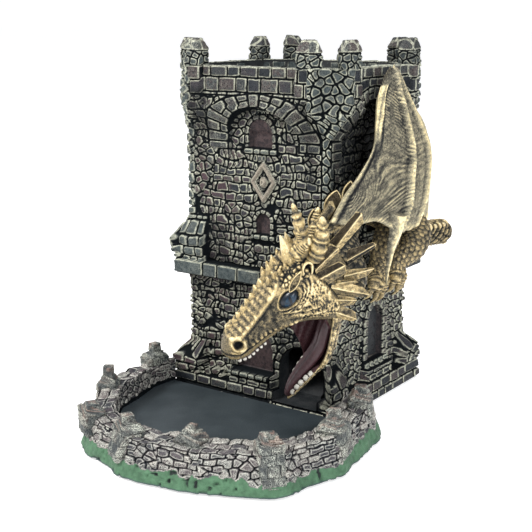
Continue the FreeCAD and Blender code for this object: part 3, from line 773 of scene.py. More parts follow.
    def lay_head_arches(self):
        """Each face's arch under the head block, sunk back to the shaft's plane."""
        z, along = self.z, self.along
        for face, centre, spring, radius in HEAD_ARCHES:
            flat = (self.face == face) & self.flat
            narrow = 0.78 if face == 0 else 1.0
            gap, run = arch_gap(centre + (along - centre) * narrow, z, centre, 100.0,
                                spring, radius)
            depth = self.half_out - np.where(self.along_x, SHAFT_Y, SHAFT_X)
            sunk = flat & (z > CORBEL_Z - 6)
            self.recess = np.maximum(self.recess, sunk * depth * (1 - smooth(gap, -0.9, 0.1)))
            under = flat & (gap < 0)
            if face == 1:
                hollow = 1.2 * smooth(-gap, 0, 1.0) * smooth(z, 118, 124)
                self.recess = np.maximum(self.recess, flat * hollow)
                # painted shade under the right face's arch, where the wing's shadow falls
                self.shade(under * smooth(-gap, -0.2, 0.8) * smooth(z, 108, 124))
            else:
                # painted shadow just inside the outline of the other arches, strongest towards
                # their left side
                shadow = 0.85 * (1 - smooth(-gap, 1.2, 3.6))
                shadow = shadow * smooth(z, spring - 14, spring - 2)
                self.shade(under * shadow * (0.35 + 0.65 * smooth(centre - along, -8, 4)))
            long = 6.5 + 3.2 * np.clip(np.abs(along - centre) / radius - 0.5, 0, 1)
            ring = flat & (z > spring - 5 - 6 * (face == 1))
            ring = np.where(ring, np.minimum(gap + 0.2, long - gap), -9)
            joint, *rest = ring_stones(run, 4.6, gap, 40 + face, np.floor(gap / 3.4))
            whole = hash01(np.floor(run / 4.6), 44 + face) > 0.4
            joint = np.minimum(joint, np.where(whole, 9.0, np.abs(gap - 3.4) + 0.05))
            self.lay(ring, (joint, *rest), 0.5, 1)

    def shade_patches(self):
        z, along, end = self.z, self.along, self.end
        # narrow slots beside the corner piers, sunk and darkened with painted shade
        slot = plateau(self.reach, end - 6.4, end - 5.4, end - 3.4, end - 2.6)
        slot = slot * plateau(z, 139, 144, 156, 162)
        slot = slot * smooth(noise2(self.face * 9.0, z, 7.0, 611), 0.30, 0.45)
        self.shade(0.95 * slot)
        self.recess = self.recess + 1.3 * slot
        # painted shade in hollows and under the dragon; low on the front by the exit arch it also
        # stands for dirt
        self.cloud = noise2(along, z, 5.0, 612)
        for face, x0, x1, z0, z1, strength, soft in SHADED_PATCHES:
            patch = plateau(along, x0 - soft, x0 + soft, x1 - soft, x1 + soft)
            patch = patch * plateau(z, z0 - soft, z0 + soft, z1 - soft, z1 + soft)
            patch = strength * patch * (0.55 + 0.6 * self.cloud)
            self.shade(np.clip(patch, 0, 1) * ((self.face == face) & self.flat))

    def lay_windows(self):
        """Blind arched windows with a ring of stones and a sill."""
        z, along = self.z, self.along
        panel = 0.30 * ripple(along, z, 1.3, 8, 3) - 0.05
        for face, centre, sill, spring, radius, depth, frame_width, lift in WINDOWS:
            flat = (self.face == face) & self.flat
            gap, run = arch_gap(along, z, centre, sill, spring, radius)
            ring = np.minimum(gap + 0.15, frame_width - gap)
            self.lay(np.where(flat & (z > sill - 3.4), ring, -9),
                     ring_stones(run, 3.6 if radius < 7 else 4.6, gap,
                                 int(60 + centre + sill)), lift, 1)
            inside = flat & (gap < 0)
            self.joint = np.where(inside, np.minimum(0.9, -gap + 0.28), self.joint)
            self.height = np.where(flat & (gap < 0.02), panel, self.height)
            self.recess = np.maximum(self.recess, flat * depth * smooth(-gap, 0.05, 0.55))
            self.window = np.where(inside, 1.0, self.window)
            # painted shadow inside each window: deep on one half of the right face's windows,
            # light on one side of the others
            if face == 1:
                shadow = 0.93 * smooth((along - centre) / radius, -0.25, 0.35)
                shadow = shadow * (0.85 + 0.3 * (self.cloud - 0.5))
            else:
                shadow = 0.35 * smooth((centre - along) / radius, 0.2, 0.9)
            self.dim = np.where(inside, shadow, self.dim)
            framed = flat & (gap >= 0) & (gap < frame_width + 1.5) & (z > sill - 3.0)
            self.dim = np.where(framed, self.dim * 0.35, self.dim)
            slab = np.minimum(np.minimum(z - (sill - 3.2), sill - 0.1 - z),
                              radius + frame_width + 0.8 - np.abs(along - centre))
            self.lay(np.where(flat, slab, -9),
                     blocks(along + 100, z, 5.2, 3.2, 90 + face, sill - 3.2), lift + 0.9, 2)

    def carve_lozenge(self):
        """A plain lozenge outline round a boss, under the front's upper window."""
        flat = (self.face == 0) & self.flat
        x, z = self.along - 5.0, self.z - 118.0
        outline = [(0.0, 9.5), (6.5, 0.5), (0.0, -8.5), (-6.5, 0.5), (0.0, 9.5)]
        shape = np.maximum(1.4 - poly_dist(x, z, outline),
                           (1 - np.hypot(x / 2.4, (z - 0.5) / 2.9)) * 2.4)
        shape = np.where(flat, shape + 0.25 * ripple(self.along, self.z, 2.0, 88, 2), -9.0)
        dimple = 0.4 - poly_dist(x, z, [(0.0, 0.9), (0.0, 0.4)])
        oval = 1 - smooth(np.hypot((x + 1.0) / 5.2, (z - 1.0) / 7.0), 0.7, 1.15)
        # painted shade in the oval hollow round the lozenge and along its outline
        self.shade(flat * 0.8 * oval * (shape < -0.1))
        self.shade(flat * 0.9 * (1 - smooth(-shape, 0.3, 1.3)) * (shape < -0.05))
        inside = shape > -0.35
        nicks = (1 - smooth(np.abs(np.mod(x + z, 2.6) - 1.3), 0.1, 0.45)) * (x < -1)
        height = (1.75 * smooth(shape, -0.2, 1.5) + 0.15 * ripple(self.along, self.z, 1.3, 89, 2)
                  - 0.8 * smooth(dimple, 0, 0.4) - 0.35 * nicks)
        self.height = np.where(inside, height - 0.1, self.height)
        joint = np.where(inside, np.clip(shape + 0.55, 0.3, 1.4),
                         np.minimum(self.joint, -shape))
        joint = np.where(flat & (np.abs(shape) < 2.5), joint, self.joint)
        self.joint = np.where(inside, np.minimum(joint, 0.30 + np.clip(-dimple, 0, 2)), joint)
        self.number = np.where(inside, 0.84 + 0.05 * np.sin(x), self.number)
        tan = 0.95 * smooth(shape, 0.15, 0.6) * (1 - 0.6 * smooth(dimple, -0.2, 0.2))
        self.tan = np.where(inside, tan, 0.0)

    def finish_stones(self):
        """The exit arch's ring of stones, and last changes to joints and shading."""
        z, along, front = self.z, self.along, self.face == 0
        self.front_flat = front & self.flat
        self.exit_gap, run = arch_gap(along, z, ARCH_X, -50.0, ARCH_SPRING, ARCH_R)
        ring = np.minimum(self.exit_gap + 0.1,
                          np.where(along > ARCH_X, 2.2, 3.4) - self.exit_gap)
        self.lay(np.where(self.front_flat, ring, -9),
                 ring_stones(run, 4.8, self.exit_gap, 77), 0.5, 1)
        self.joint = np.where(z > RIM_Z - 0.9, np.clip(self.joint, 0.52, 0.74), self.joint)
        # painted shade along the front's foot by the tray floor, with its lowest joint line
        # painted dark too
        foot = front & (z < 6.9) & (along < 14)
        self.shade(0.9 * foot)
        self.joint = np.where(foot, np.minimum(self.joint, 0.12), self.joint)
        # the front's big stones high up are darkened a little
        self.shade(0.16 * (front & (z > 136) & (self.kind == 1) & (self.window < 0.5)))
        # painted shade high on the right face, under the wing
        right = (self.face == 1) & self.flat & (along < 6)
        self.shade(right * 0.55 * plateau(z, 112, 122, 154, 160))

    def points(self):
        z, cut, turn = self.z, self.cut, self.turn[..., None]
        out = self.out + self.height - self.recess
        out = np.where(z < PAD_T + 0.1, self.out - 0.6, out)
        # near the ends of a face the relief also pushes outwards along it
        share = np.clip((np.abs(self.along) - (self.end - 13.0)) / 13.0, 0, 1) ** 2
        along = self.along + out * share * np.sign(self.along)
        after = np.mod(self.face + 1, 4)
        here = face_point(self.face, self.half_out + out, along)
        start = face_point(self.face, self.half_out + out, self.end + out)
        end = face_point(after, self.half_along + out, -(self.half_out - cut + out))
        plan = np.where(turn > 0, lerp(start, end, turn), here)
        return np.concatenate([plan, z[..., None]], -1)

    def values(self):
        return dict(edge=np.clip(self.joint, 0, 3), rnd=self.number,
                    relief=np.clip(self.height + 0.35, -1, 1.2), win=self.window,
                    kind=self.kind, tan=self.tan, dim=self.dim)


def parapet(top, last, face, place, turn):
    """The wall walk from the rim inwards, then the inner face of the battlement wall."""
    profile = [(i / 16.0, RIM_Z) for i in range(1, 17)]
    profile += [(1.0, RIM_Z - i * 0.7) for i in range(1, 38)]
    inward, z = np.array(profile).T[..., None]
    # inner outline: half sizes and corner cut of the mouth
    mouth_x, mouth_y, mouth_cut = 42.3, 39.3, 12.0
    half_along = np.where(face % 2 == 0, mouth_x, mouth_y)
    half_out = np.where(face % 2 == 0, mouth_y, mouth_x)
    inner = lerp(face_point(face, half_out, place * (half_along - mouth_cut)),
                 face_point((face + 1) % 4, half_along, -(half_out - mouth_cut)),
                 turn[:, None])
    down = z < RIM_Z
    shape = (len(profile), len(top))
    run = np.broadcast_to(np.arange(len(top)) * PERIMETER / len(top), shape)
    rise = np.broadcast_to(np.where(down, RIM_Z - z + 10.0, inward * 10.0), shape)
    field = blocks(run, rise, 8.6, 5.2, 26, 0.0, PERIMETER, 0.3)
    height = stone_height(field, run, rise, 91, deep=0.9)
    outward = inner / np.linalg.norm(inner, axis=1, keepdims=True)
    plan = (lerp(top[None, :, :2], inner[None], inward[..., None])
            - np.where(down, height - 0.3, 0)[..., None] * outward[None])
    level = z + np.where(down, 0.0, height * 0.9 * plateau(inward, 0, 0.1, 0.93, 1.0))
    joint, number = field[:2]
    rim = (inward < 0.14) & (z > RIM_Z - 0.1)
    joint = np.where(rim, np.clip(joint, 0.0, 0.72) * 0.2 + 0.56, joint)
    walk = level > RIM_Z - 0.5
    values = dict(edge=np.clip(joint, 0, 3),
                  rnd=np.where(walk, 0.62 + 0.38 * number, number * 0.5),
                  relief=np.where(walk, height + 0.85, height + 0.2),
                  kind=np.where(walk, 1.5, 2.0))
    values = {key: np.concatenate([last[key][None], grid]) for key, grid in values.items()}
    return np.concatenate([top[None], np.concatenate([plan, level[..., None]], -1)]), values


def keep_walls():
    """The outer wall in three pieces, with the exit arch cut through it."""
    rows, (face, place, turn) = keep_rows(), keep_columns()
    wall = KeepWall(rows, face, place, turn)
    points, values = wall.points(), wall.values()
    front, gap, z = wall.front_flat, wall.exit_gap, wall.z
    # pull the nearest points onto the arch's outline and drop the faces inside it
    keep = ~(front & (gap < -0.05) & (z > ARCH_SILL - 0.3))
    near = front & (np.abs(gap) < 0.36) & (z > ARCH_SILL) & (z < ARCH_SPRING)
    jamb = np.where(wall.along > ARCH_X, ARCH_X + ARCH_R, ARCH_X - ARCH_R)
    points[..., 0] = np.where(near, jamb, points[..., 0])
    splits = [0, int(np.searchsorted(rows[:, 0], COURSE_TOP_Z, side="right")) - 1,
              int(np.searchsorted(rows[:, 0], 141.0)), len(rows)]
    objects = []
    for k, name in enumerate(("keep_lower_walls", "keep_upper_walls", "keep_head_block")):
        span = slice(splits[k], min(splits[k + 1] + 1, len(rows)))
        parts = Parts(*STONE, "kind", "tan", "dim")
        parts.grid(points[span], closed=True, keep=keep[span],
                   **{key: value[span] for key, value in values.items()})
        if k == 0:
            # turn under to the felt
            under = points[0] * [0.90, 0.90, 1]
            under[:, 2] = PAD_T + 0.02
            parts.grid(np.stack([under, points[0]]), closed=True, edge=1.0, rnd=0.2)
        if k == 2:
            last = {key: value[-1] for key, value in values.items()}
            inner, painting = parapet(points[-1], last, face, place, turn)
            parts.grid(inner, closed=True, **painting)
        objects.append(parts.make(name, KEEP_STONE, "tower", "painted_stone"))
    return objects


def resample(ring, count):
    """Evenly spaced points round a closed outline, and their distances along it."""
    ring = np.vstack([ring, ring[:1]])
    length = np.concatenate([[0], np.cumsum(np.hypot(*np.diff(ring, axis=0).T))])
    place = np.linspace(0, length[-1], count, endpoint=False)
    return np.stack([np.interp(place, length, ring[:, i]) for i in range(2)], -1), place


def round_ring(ring, radius, steps):
    """Rounds a convex outline's corners."""
    rounded = []
    for i, corner in enumerate(ring):
        before, after = ring[i - 1] - corner, ring[(i + 1) % len(ring)] - corner
        before_length, after_length = np.linalg.norm(before), np.linalg.norm(after)
        reach = min(radius, before_length * 0.45, after_length * 0.45)
        start = corner + before / before_length * reach
        end = corner + after / after_length * reach
        for j in range(steps + 1):
            t = j / steps
            rounded.append((1 - t) ** 2 * start + 2 * t * (1 - t) * corner + t * t * end)
    return np.array(rounded)


MERLON_T = 9.4                      # thickness of a merlon
MERLON_ARMS = (9.5, 5.8)            # its length along the keep's side and along the bevel
MERLON_SHOULDER, MERLON_CAP = 183.6, 184.0


def merlon_outlines():
    """A merlon bent round each of the head block's eight corners."""
    side, end = HEAD_X - HEAD_CUT, HEAD_Y - HEAD_CUT
    corners = np.array([(-side, -HEAD_Y), (side, -HEAD_Y), (HEAD_X, -end), (HEAD_X, end),
                        (side, HEAD_Y), (-side, HEAD_Y), (-HEAD_X, end), (-HEAD_X, -end)])

    def inward(point, direction):
        normal = np.array([-direction[1], direction[0]])
        return normal if np.dot(-point, normal) > 0 else -normal
    outlines = []
    for i, corner in enumerate(corners):
        before, after = corners[i - 1] - corner, corners[(i + 1) % 8] - corner
        before_length, after_length = np.linalg.norm(before), np.linalg.norm(after)
        arms = MERLON_ARMS if before_length > after_length else MERLON_ARMS[::-1]
        before, after = before / before_length, after / after_length
        start, finish = corner + before * arms[0], corner + after * arms[1]
        start_in, finish_in = inward(start, before), inward(finish, after)
        inner = (start_in + finish_in) * (MERLON_T / (1 + np.dot(start_in, finish_in)))
        outlines.append(np.array([corner, finish, finish + finish_in * MERLON_T,
                                  corner + inner, start + start_in * MERLON_T, start]))
    return outlines


def merlon(parts, i, outline):
    base, place = resample(round_ring(outline, 1.1, 3), 96)
    centre = base.mean(0)
    # (scale, height): upright sides, shoulder, domed cap, then in to the middle
    profile = [(1.0, 175.4 + 0.55 * k) for k in range(14)]
    profile += [(0.99, 182.9), (0.985, 183.4), (0.97, 183.9)]
    profile += [(0.97 - 0.40 * k / 11.0, MERLON_CAP + 5.6 * (k / 11.0) ** 0.82)
                for k in range(12)]
    profile += [(0.57 * (1 - k / 6.0), 189.75) for k in range(1, 6)]
    scale, level = np.array(profile).T[..., None]
    run = np.broadcast_to(place[None] + i * 53.0, (len(profile), 96))
    rise = np.where(level < MERLON_CAP, level, MERLON_CAP + (0.97 - scale) * 14.0)
    rise = np.broadcast_to(rise, run.shape)
    joint, number, x, y = rubble(run, rise, 5.0, 3.9, 320 + i)
    cap = rise > MERLON_SHOULDER
    cap_joint, cap_number = rubble(run * 0.6, rise * 0.7, 6.0, 4.0, 340 + i, 0.9)[:2]
    seam = np.abs(rise - MERLON_SHOULDER)
    joint = np.where(cap, np.clip(np.minimum(cap_joint + 0.45, seam + 0.25), 0.3, 3.0),
                     np.minimum(joint, seam + 0.1))
    number = np.where(cap, (0.80 if i in (0, 1, 2) else 0.55) + 0.20 * cap_number,
                      number * 0.8)
    height = stone_height((joint, number, x, y), run, rise, 340 + i,
                          deep=0.75, lift=0.25, rough=0.32)
    # every merlon leans and sags a little in its own way
    above = np.clip(level - 182.0, 0, 9)
    lean_x, lean_y, sag = (float(hash01(np.array(i * 3.0 + k), 7)) for k in (1, 2, 3))
    scale = scale * (1 + 0.030 * np.sin((level - 175) * 0.9 + i * 2.1) * (level < 184))
    arm = base - centre
    outward = arm / np.hypot(arm[:, 0], arm[:, 1])[:, None]
    push = height * np.where(level < 186, 1.0, 0.35) * (scale > 0.3)
    x = centre[0] + arm[:, 0] * scale + (lean_x - 0.5) * 0.16 * above + push * outward[:, 0]
    y = centre[1] + arm[:, 1] * scale + (lean_y - 0.5) * 0.16 * above + push * outward[:, 1]
    z = level + np.where(level > 186, height * 0.55, 0)
    tilt = (lean_x - 0.5) * 0.22 * (x - centre[0]) + (lean_y - 0.5) * 0.22 * (y - centre[1])
    z = z + np.clip((level - 181.0) / 5.0, 0, 1) * (tilt - 0.9 * sag)
    points = np.stack([x, y, np.minimum(z, 190.2)], -1)
    # painted shade: sides darker than the caps, and the back merlons darker than the front ones
    dim = np.where(cap, 0.0, 0.25) if i in (0, 1, 2, 7) else np.where(cap, 0.25, 0.55)
    parts.grid(points, closed=True, edge=np.clip(joint, 0, 3), rnd=number,
               relief=np.where(cap, height + 0.55, height + 0.25),
               kind=np.where(cap, 1.0, 2.0), dim=dim)
    parts.cap(points[-1], edge=1.2, rnd=0.8, relief=0.4)


def battlements():
    parts = Parts("edge", "rnd", "relief", "kind", "win", "dim")
    for i, outline in enumerate(merlon_outlines()):
        merlon(parts, i, outline)
    return parts.make("keep_battlements", KEEP_STONE, "tower", "painted_stone")


def chute_paint():
    paint = Paint("chute_paint")
    fine = paint.noise(scale=900, detail=5, rough=0.65)
    mid = paint.noise(scale=160, detail=3, rough=0.6)
    color = paint.mottle(mid, (0.010, 0.013, 0.015), (0.024, 0.026, 0.028),
                         start=0.35, end=0.65)
    # sparse pale flecks
    color = paint.mix(paint.step(fine, start=0.60, end=0.72) * 0.22, color,
                      (0.22, 0.21, 0.17))
    return paint.finish(color, rough=0.62, specular=0.35,
                        normal=paint.bump(fine + mid, strength=0.8, distance=0.0005))


def chute():
    """Chute lining and exit tunnel, taken from the frame's own inner faces."""
    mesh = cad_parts["tower_shell"].data
    points = np.zeros(len(mesh.vertices) * 3, np.float32)
    mesh.vertices.foreach_get("co", points)
    points = points.reshape(-1, 3) * 1000.0
    mesh.calc_loop_triangles()
    faces = np.zeros(len(mesh.loop_triangles) * 3, np.int32)
    mesh.loop_triangles.foreach_get("vertices", faces)
    faces = faces.reshape(-1, 3)
    x, y, z = points.T
    centre = points[faces].mean(1)
    lining = (np.abs(x) < 42.75) & (np.abs(y) < 39.75) & (z > 5.9) & (z < 160.0)
    tunnel = (np.abs(x - ARCH_X) < ARCH_R + 0.02) & (y < -30) & (z > 6.5) & (z < 35.6)
    normal = np.cross(points[faces[:, 1]] - points[faces[:, 0]],
                      points[faces[:, 2]] - points[faces[:, 0]])
    normal = normal / (np.linalg.norm(normal, axis=1, keepdims=True) + 1e-9)
    keep = (lining | tunnel)[faces].all(1)
    keep &= ~((np.abs(normal[:, 1]) > 0.9) & (centre[:, 1] < -38.0))
    mouth = (z[faces].min(1) > 144.0) & (centre[:, 2] < RIM_Z - 0.1)
    mouth &= (np.abs(centre[:, 0]) < 42.6) & (np.abs(centre[:, 1]) < 39.6)
    keep |= mouth & (np.linalg.norm(centre[:, :2], axis=1) > 20)
    used, faces = np.unique(faces[keep], return_inverse=True)
    return make_object("keep_chute", points[used], np.zeros((0, 4), int),
                       faces.reshape(-1, 3), {}, CHUTE_PAINT, "tower",
                       smoothed=False)


keep_objects = keep_walls()
keep_objects.append(battlements())
CHUTE_PAINT = chute_paint()
keep_objects.append(chute())
for obj in keep_objects:
    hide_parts("tower_shell")
for node in ("upper_ramp", "middle_ramp", "exit_ramp"):
    repaint(node, CHUTE_PAINT)

# ======================================================================================
# The tray
# ======================================================================================
BACK_Y = -49.6                      # the joint with the keep
TRAY_MIDDLE = np.array([8.0, -85.0])
WALL_TOP = 18.3
WALL_INSET = 4.6                    # how far the wall's outer edge leans in from its foot
# (x, y) of the wall's outer foot and of the inner edge of its top
SKIRT = [(-56, BACK_Y), (-62, -53), (-64, -64), (-60, -82), (-59, -100), (-50, -114),
         (-40, -128), (-33, -138), (-22, -145), (-4, -149), (4, -153.5), (14, -153.8),
         (30, -151.5), (44, -149), (59, -142), (74, -135), (79, -128), (80, -116),
         (84, -104), (88, -95), (84.5, -82), (82, -66), (80, -50), (76, -42)]
WELL = [(-48.5, BACK_Y), (-49.5, -66), (-44, -86), (-42, -99), (-33, -113), (-21, -127),
        (-2, -134), (16, -133), (34, -128), (50, -122), (61, -118), (66.5, -104),
        (69, -88), (65.5, -70), (61, -57), (59.2, -49.6), (57.4, -46.0), (54.5, -42)]
# x, y, width, depth, foot, shoulder, foot of the knob, top, knob scale across and along,
# knob shift, lean outwards, notched
POSTS = [
    (-54.7, -58.5, 13.5, 10.0, 8.0, 20.4, 23.6, 28.2, 0.42, 0.50, 0.0, 0.0, False),
    (-48.5, -101.1, 13.0, 10.5, 8.0, 18.6, 23.4, 28.2, 0.42, 0.50, 0.0, 0.0, False),
    (-26, -136.6, 14.5, 11.0, 10.0, 20.0, 22.6, 24.4, 0.55, 0.6, 0.5, 0.0, False),
    (3, -143, 14.0, 11.5, 7.0, 20.0, 23.2, 26.2, 0.45, 0.5, -2.0, 2.7, False),
    (33.2, -136, 14.0, 11.5, 7.0, 19.4, 24.6, 26.4, 0.30, 0.55, 0.3, 1.6, False),
    (68.3, -127.1, 12.0, 11.0, 5.0, 22.6, 25.6, 27.6, 0.62, 0.70, 0.0, 2.2, True),
    (76.6, -88.4, 16.5, 12.5, 7.0, 19.6, 24.4, 28.2, 0.34, 0.46, 0.0, 1.4, False),
    (69.2, -51.5, 13.5, 11.5, 8.0, 20.0, 24.0, 27.2, 0.50, 0.55, 0.0, 0.4, False),
]
TRAY_STEPS = 620


def even_line(points):
    """Evenly spaced points along a line, averaged twice to soften its corners."""
    points = np.array(points, float)
    length = np.concatenate([[0], np.cumsum(np.hypot(*np.diff(points, axis=0).T))])
    place = np.linspace(0, length[-1], TRAY_STEPS)
    line = np.stack([np.interp(place, length, points[:, k]) for k in range(2)], -1)
    for _ in range(2):
        padded = np.vstack([np.repeat(line[:1], 4, 0), line, np.repeat(line[-1:], 4, 0)])
        soft = np.stack([np.convolve(padded[:, k], np.ones(9) / 9.0, "valid")
                         for k in range(2)], -1)
        soft[0], soft[-1] = line[0], line[-1]
        line = soft
    return line, place


def outward_normals(line):
    normal = np.stack([np.gradient(line[:, 1]), -np.gradient(line[:, 0])], -1)
    normal /= np.linalg.norm(normal, axis=1, keepdims=True)
    return np.where(((line - TRAY_MIDDLE) * normal).sum(1, keepdims=True) < 0,
                    -normal, normal)


skirt, skirt_run = even_line(SKIRT)
well, _ = even_line(WELL)
skirt_out, well_out = outward_normals(skirt), outward_normals(well)


def skirt_paint():
    """Green ground with dark hollows and a slate edge at the felt."""
    paint = Paint("tray_skirt_paint")
    relief, foot = paint.attribute("relief"), paint.attribute("win")
    fine = paint.noise(scale=1900, detail=5, rough=0.68)
    mid = paint.noise(scale=420, detail=4, rough=0.6)
    broad = paint.noise(scale=120, detail=3, rough=0.55)
    greens = [(0.25, (0.019, 0.044, 0.026)), (0.40, (0.040, 0.100, 0.052)),
              (0.56, (0.064, 0.150, 0.080)), (0.72, (0.090, 0.190, 0.108)),
              (0.9, (0.140, 0.240, 0.160))]
    color = paint.ramp(mid * 0.55 + broad * 0.45, greens)
    hollow = paint.fall(relief + (mid - 0.5) * 0.75, start=-1.35, end=-0.75)
    color = paint.mix(hollow, color, (0.012, 0.020, 0.018))
    # pale flecks, then dark pits
    color = paint.mix(paint.step(fine, start=0.60, end=0.72) * 0.35, color,
                      (0.18, 0.26, 0.19))
    color = paint.mix(paint.fall(fine, start=0.30, end=0.40) * 0.85, color,
                      (0.014, 0.022, 0.020))
    color = paint.mix(foot, color, (0.030, 0.042, 0.058))
    return paint.finish(color, rough=0.62, specular=0.35,
                        normal=paint.bump(fine + mid, strength=0.7, distance=0.0004))


FOOT, FACE, TOP, INNER = range(4)       # which part of the section a row belongs to


def tray_section():
    """Rows of the wall's section: inset from the skirt line, height, share of the way to
    the well, part."""
    rows = [(0.2 + 2.4 * (i / 16.0) ** 1.7, 1.25 + 7.35 * i / 16.0, 0, FOOT)
            for i in range(16)]

    def run(count, start, end, part):
        for i in range(count):
            rows.append((*[a + (b - a) * i / count for a, b in zip(start, end)], part))
    run(20, (2.6, 8.6, 0), (4.4, 18.0, 0), FACE)
    rows.append((WALL_INSET, WALL_TOP, 0, FACE))
    run(26, (WALL_INSET, WALL_TOP, 0.02), (WALL_INSET, WALL_TOP, 1.0), TOP)
    run(18, (WALL_INSET, 18.0, 1.0), (WALL_INSET, 6.05, 1.0), INNER)
    rows += [(WALL_INSET, z, share, INNER) for z, share in
             ((6.05, 1.0), (5.55, 1.06), (5.45, 1.30), (3.4, 1.0), (1.27, 1.0))]
    return np.array(rows, float).T[..., None]


def tray_wall():
    """The wall's points, which of them are green ground, and their attributes."""
    inset, z, share, part = tray_section()
    top, inner = part == TOP, part == INNER
    # past the floor slab the inner face runs straight down
    share = np.where((well[None, :, 1] > -50.3) & (share > 1.0), 1.0, share)
    run = np.broadcast_to(skirt_run[None, :], (len(z), TRAY_STEPS))
    base = skirt[None] - skirt_out[None] * inset[..., None]
    plan = lerp(base, well[None], share[..., None])
    width = np.linalg.norm(skirt - skirt_out * WALL_INSET - well, axis=1)[None]
    rise = np.where(part < TOP, z + 0.6 * inset,
                    np.where(top, 21.0 + share * width, 21.0 + width + (WALL_TOP - z)))
    # small irregular courses on the wall, larger slabs on the top
    coursed = blocks(run, rise + 1.8 * ripple(run, rise, 9.0, 3, 2), 6.2, 3.3, 401, 8.9,
                     None, 0.75)
    field = choose(noise2(run, rise, 12.0, 409, 2) > 0.44,
                   rubble(run, rise, 4.6, 3.4, 405), coursed)
    slabs = blocks(run, rise, 8.0, 5.4, 411, 21.4, None, 0.6)
    slabs = (np.minimum(slabs[0], np.abs(rise - 21.2)), *slabs[1:])
    joint, number, x, y = choose(top, slabs, field)
    joint = np.minimum(joint, np.where(part == FACE, np.abs(rise - 20.8) + 0.02, 9.0))
    height = stone_height((joint, number, x, y), run, rise, 415, deep=0.95, rounding=0.85,
                          lift=0.60, rough=0.55, tilt=0.09)
    # green ground: lumps and pits with a ragged upper edge, lower on the left
    ground_top = (7.6 + 5.2 * ripple(run, 0.0, 8.0, 421, 3) + 1.2 * ripple(run, 0.0, 2.2, 422)
                  - 2.4 * smooth(-base[..., 0], 38.0, 52.0))
    ground = (part <= FACE) & (z < ground_top)
    pit = smooth(0.30 - noise2(run, rise, 2.2, 429), 0.0, 0.14)
    pit = pit * smooth(noise2(run, rise, 14.0, 430, 2), 0.44, 0.56)
    lumps = (1.9 * ripple(run, rise, 6.0, 425, 3) + 0.45 * ripple(run, rise, 1.6, 427)
             - 1.1 * pit)
    height = np.where(ground, lumps + 0.35, height + np.where(part == FOOT, 0.25, 0.0))
    outward = (skirt_out[None] * (1 - share[..., None])
               + np.where(inner[..., None], -well_out[None], 0))
    taper = np.minimum(1, np.minimum(skirt_run, skirt_run[-1] - skirt_run) / 2.5)[None]
    push = height * taper
    plan = plan + outward * (push * np.where(part < TOP, 1.0,
                                             np.where(top, 0.0, 0.6)))[..., None]
    x, y = plan[..., 0], plan[..., 1]
    level = z + np.where(top, push * 0.95 * smooth(share, 0, 0.05), 0.0)
    level = level + np.where((part == FACE) & (z > 17.9), 0.4 * push, 0)
    # the top of the wall rises and dips
    wave = 3.0 * ripple(run, 0.0, 11.0, 431, 2) + 0.9 * ripple(run, 0.0, 3.4, 433)
    follow = np.where(part == FACE, smooth(z, 11.5, 18.0), smooth(z, 13.0, 18.0) * inner)
    level = level + np.where(top, 1.0, follow) * (wave - 0.5) * taper
    # keep the joint line with the keep straight
    y = np.where((x < 54.2) & (y > BACK_Y), BACK_Y, y)
    y = y + np.where((x < 0) & (y > -52.0), 0.75 * smooth(y, -52.0, -49.7), 0.0)
    # the inner face's foot is painted as dark as a joint: painted shade in the corner with the
    # floor
    joint = np.where(inner & (z < 7.6), 0.02, joint)
    dark = np.where(part == FOOT, 1 - smooth(z, 1.5, 1.9), 0.0)
    values = dict(edge=np.clip(np.where(ground, 1.0, joint), 0, 3), rnd=number,
                  relief=np.where(ground, lumps, np.clip(height + 0.35, -1, 1.2)),
                  win=np.where(ground, dark, 0.0))
    return np.stack([x, y, level], -1), ground, values


def tray_piece(name, points, faces, values, material):
    """The part of the wall that the given faces cover."""
    used, index = np.unique(faces, return_inverse=True)
    values = {key: value.ravel()[used] for key, value in values.items()}
    return make_object(name, points.reshape(-1, 3)[used], index.reshape(-1, 4),
                       NO_TRIANGLES, values, material, "tray")


def tray_walls():
    points, ground, values = tray_wall()
    faces = grid_faces(*points.shape[:2])
    green = ground.ravel()[faces].all(1)
    objects = [
        tray_piece("tray_ground_skirt", points, faces[green], values, skirt_paint()),
        tray_piece("tray_curtain_wall", points, faces[~green], values, TRAY_STONE)]
    # close the two ends that face the keep
    parts = Parts(*STONE)
    for col, flip in ((0, False), (-1, True)):
        ring = np.vstack([points[:, col], points[:1, col]])
        fill = np.stack([ring + (ring.mean(0) - ring) * t for t in np.linspace(0, 1, 8)], 1)
        fill[:, -1] = ring.mean(0)
        parts.grid(fill, flip=flip, edge=1.0, rnd=0.3, relief=0.1)
    objects.append(parts.make("tray_wall_ends", TRAY_STONE, "tray", "tray_stone"))
    return objects


def back_sill():
    """A low bar of stones along the tray's back, where it meets the keep."""
    # (y, z) of its section
    section = np.array([(-49.17, 1.26), (-49.17, 5.62), (-49.80, 5.62), (-49.88, 4.93),
                        (-53.0, 4.93), (-53.0, 1.26)])
    section, _ = resample(round_ring(section, 0.30, 3), 64)
    x, y, z = np.broadcast_arrays(np.linspace(-53.6, 53.2, 420)[:, None],
                                  section[None, :, 0], section[None, :, 1])
    field = blocks(x + 200.0, z + 0.3 * ripple(x, z, 3.0, 641), 7.2, 4.6, 643, 1.2, None, 0.5)
    height = stone_height(field, x, z, 645, deep=0.5, rounding=0.7, lift=0.12, rough=0.25)
    height = np.clip(height, -0.7, 0.22)
    points = np.stack([x, y + (height - 0.22) * smooth(y, -49.7, -49.3),
                       z + 0.10 * ripple(x, z, 2.0, 647) * (z > 5.0)], -1)
    parts = Parts(*STONE, "dim")
    # the whole sill is painted in shade, in the corner where the tray meets the keep
    parts.grid(points, closed=True, flip=True, edge=np.clip(field[0], 0, 3),
               rnd=field[1] * 0.6, relief=height * 0.5, dim=0.55)
    parts.cap(points[0], flip=True, edge=1.0, rnd=0.3, dim=0.6)
    parts.cap(points[-1], edge=1.0, rnd=0.3, dim=0.6)
    return parts.make("tray_back_sill", TRAY_STONE, "tray", "tray_stone")


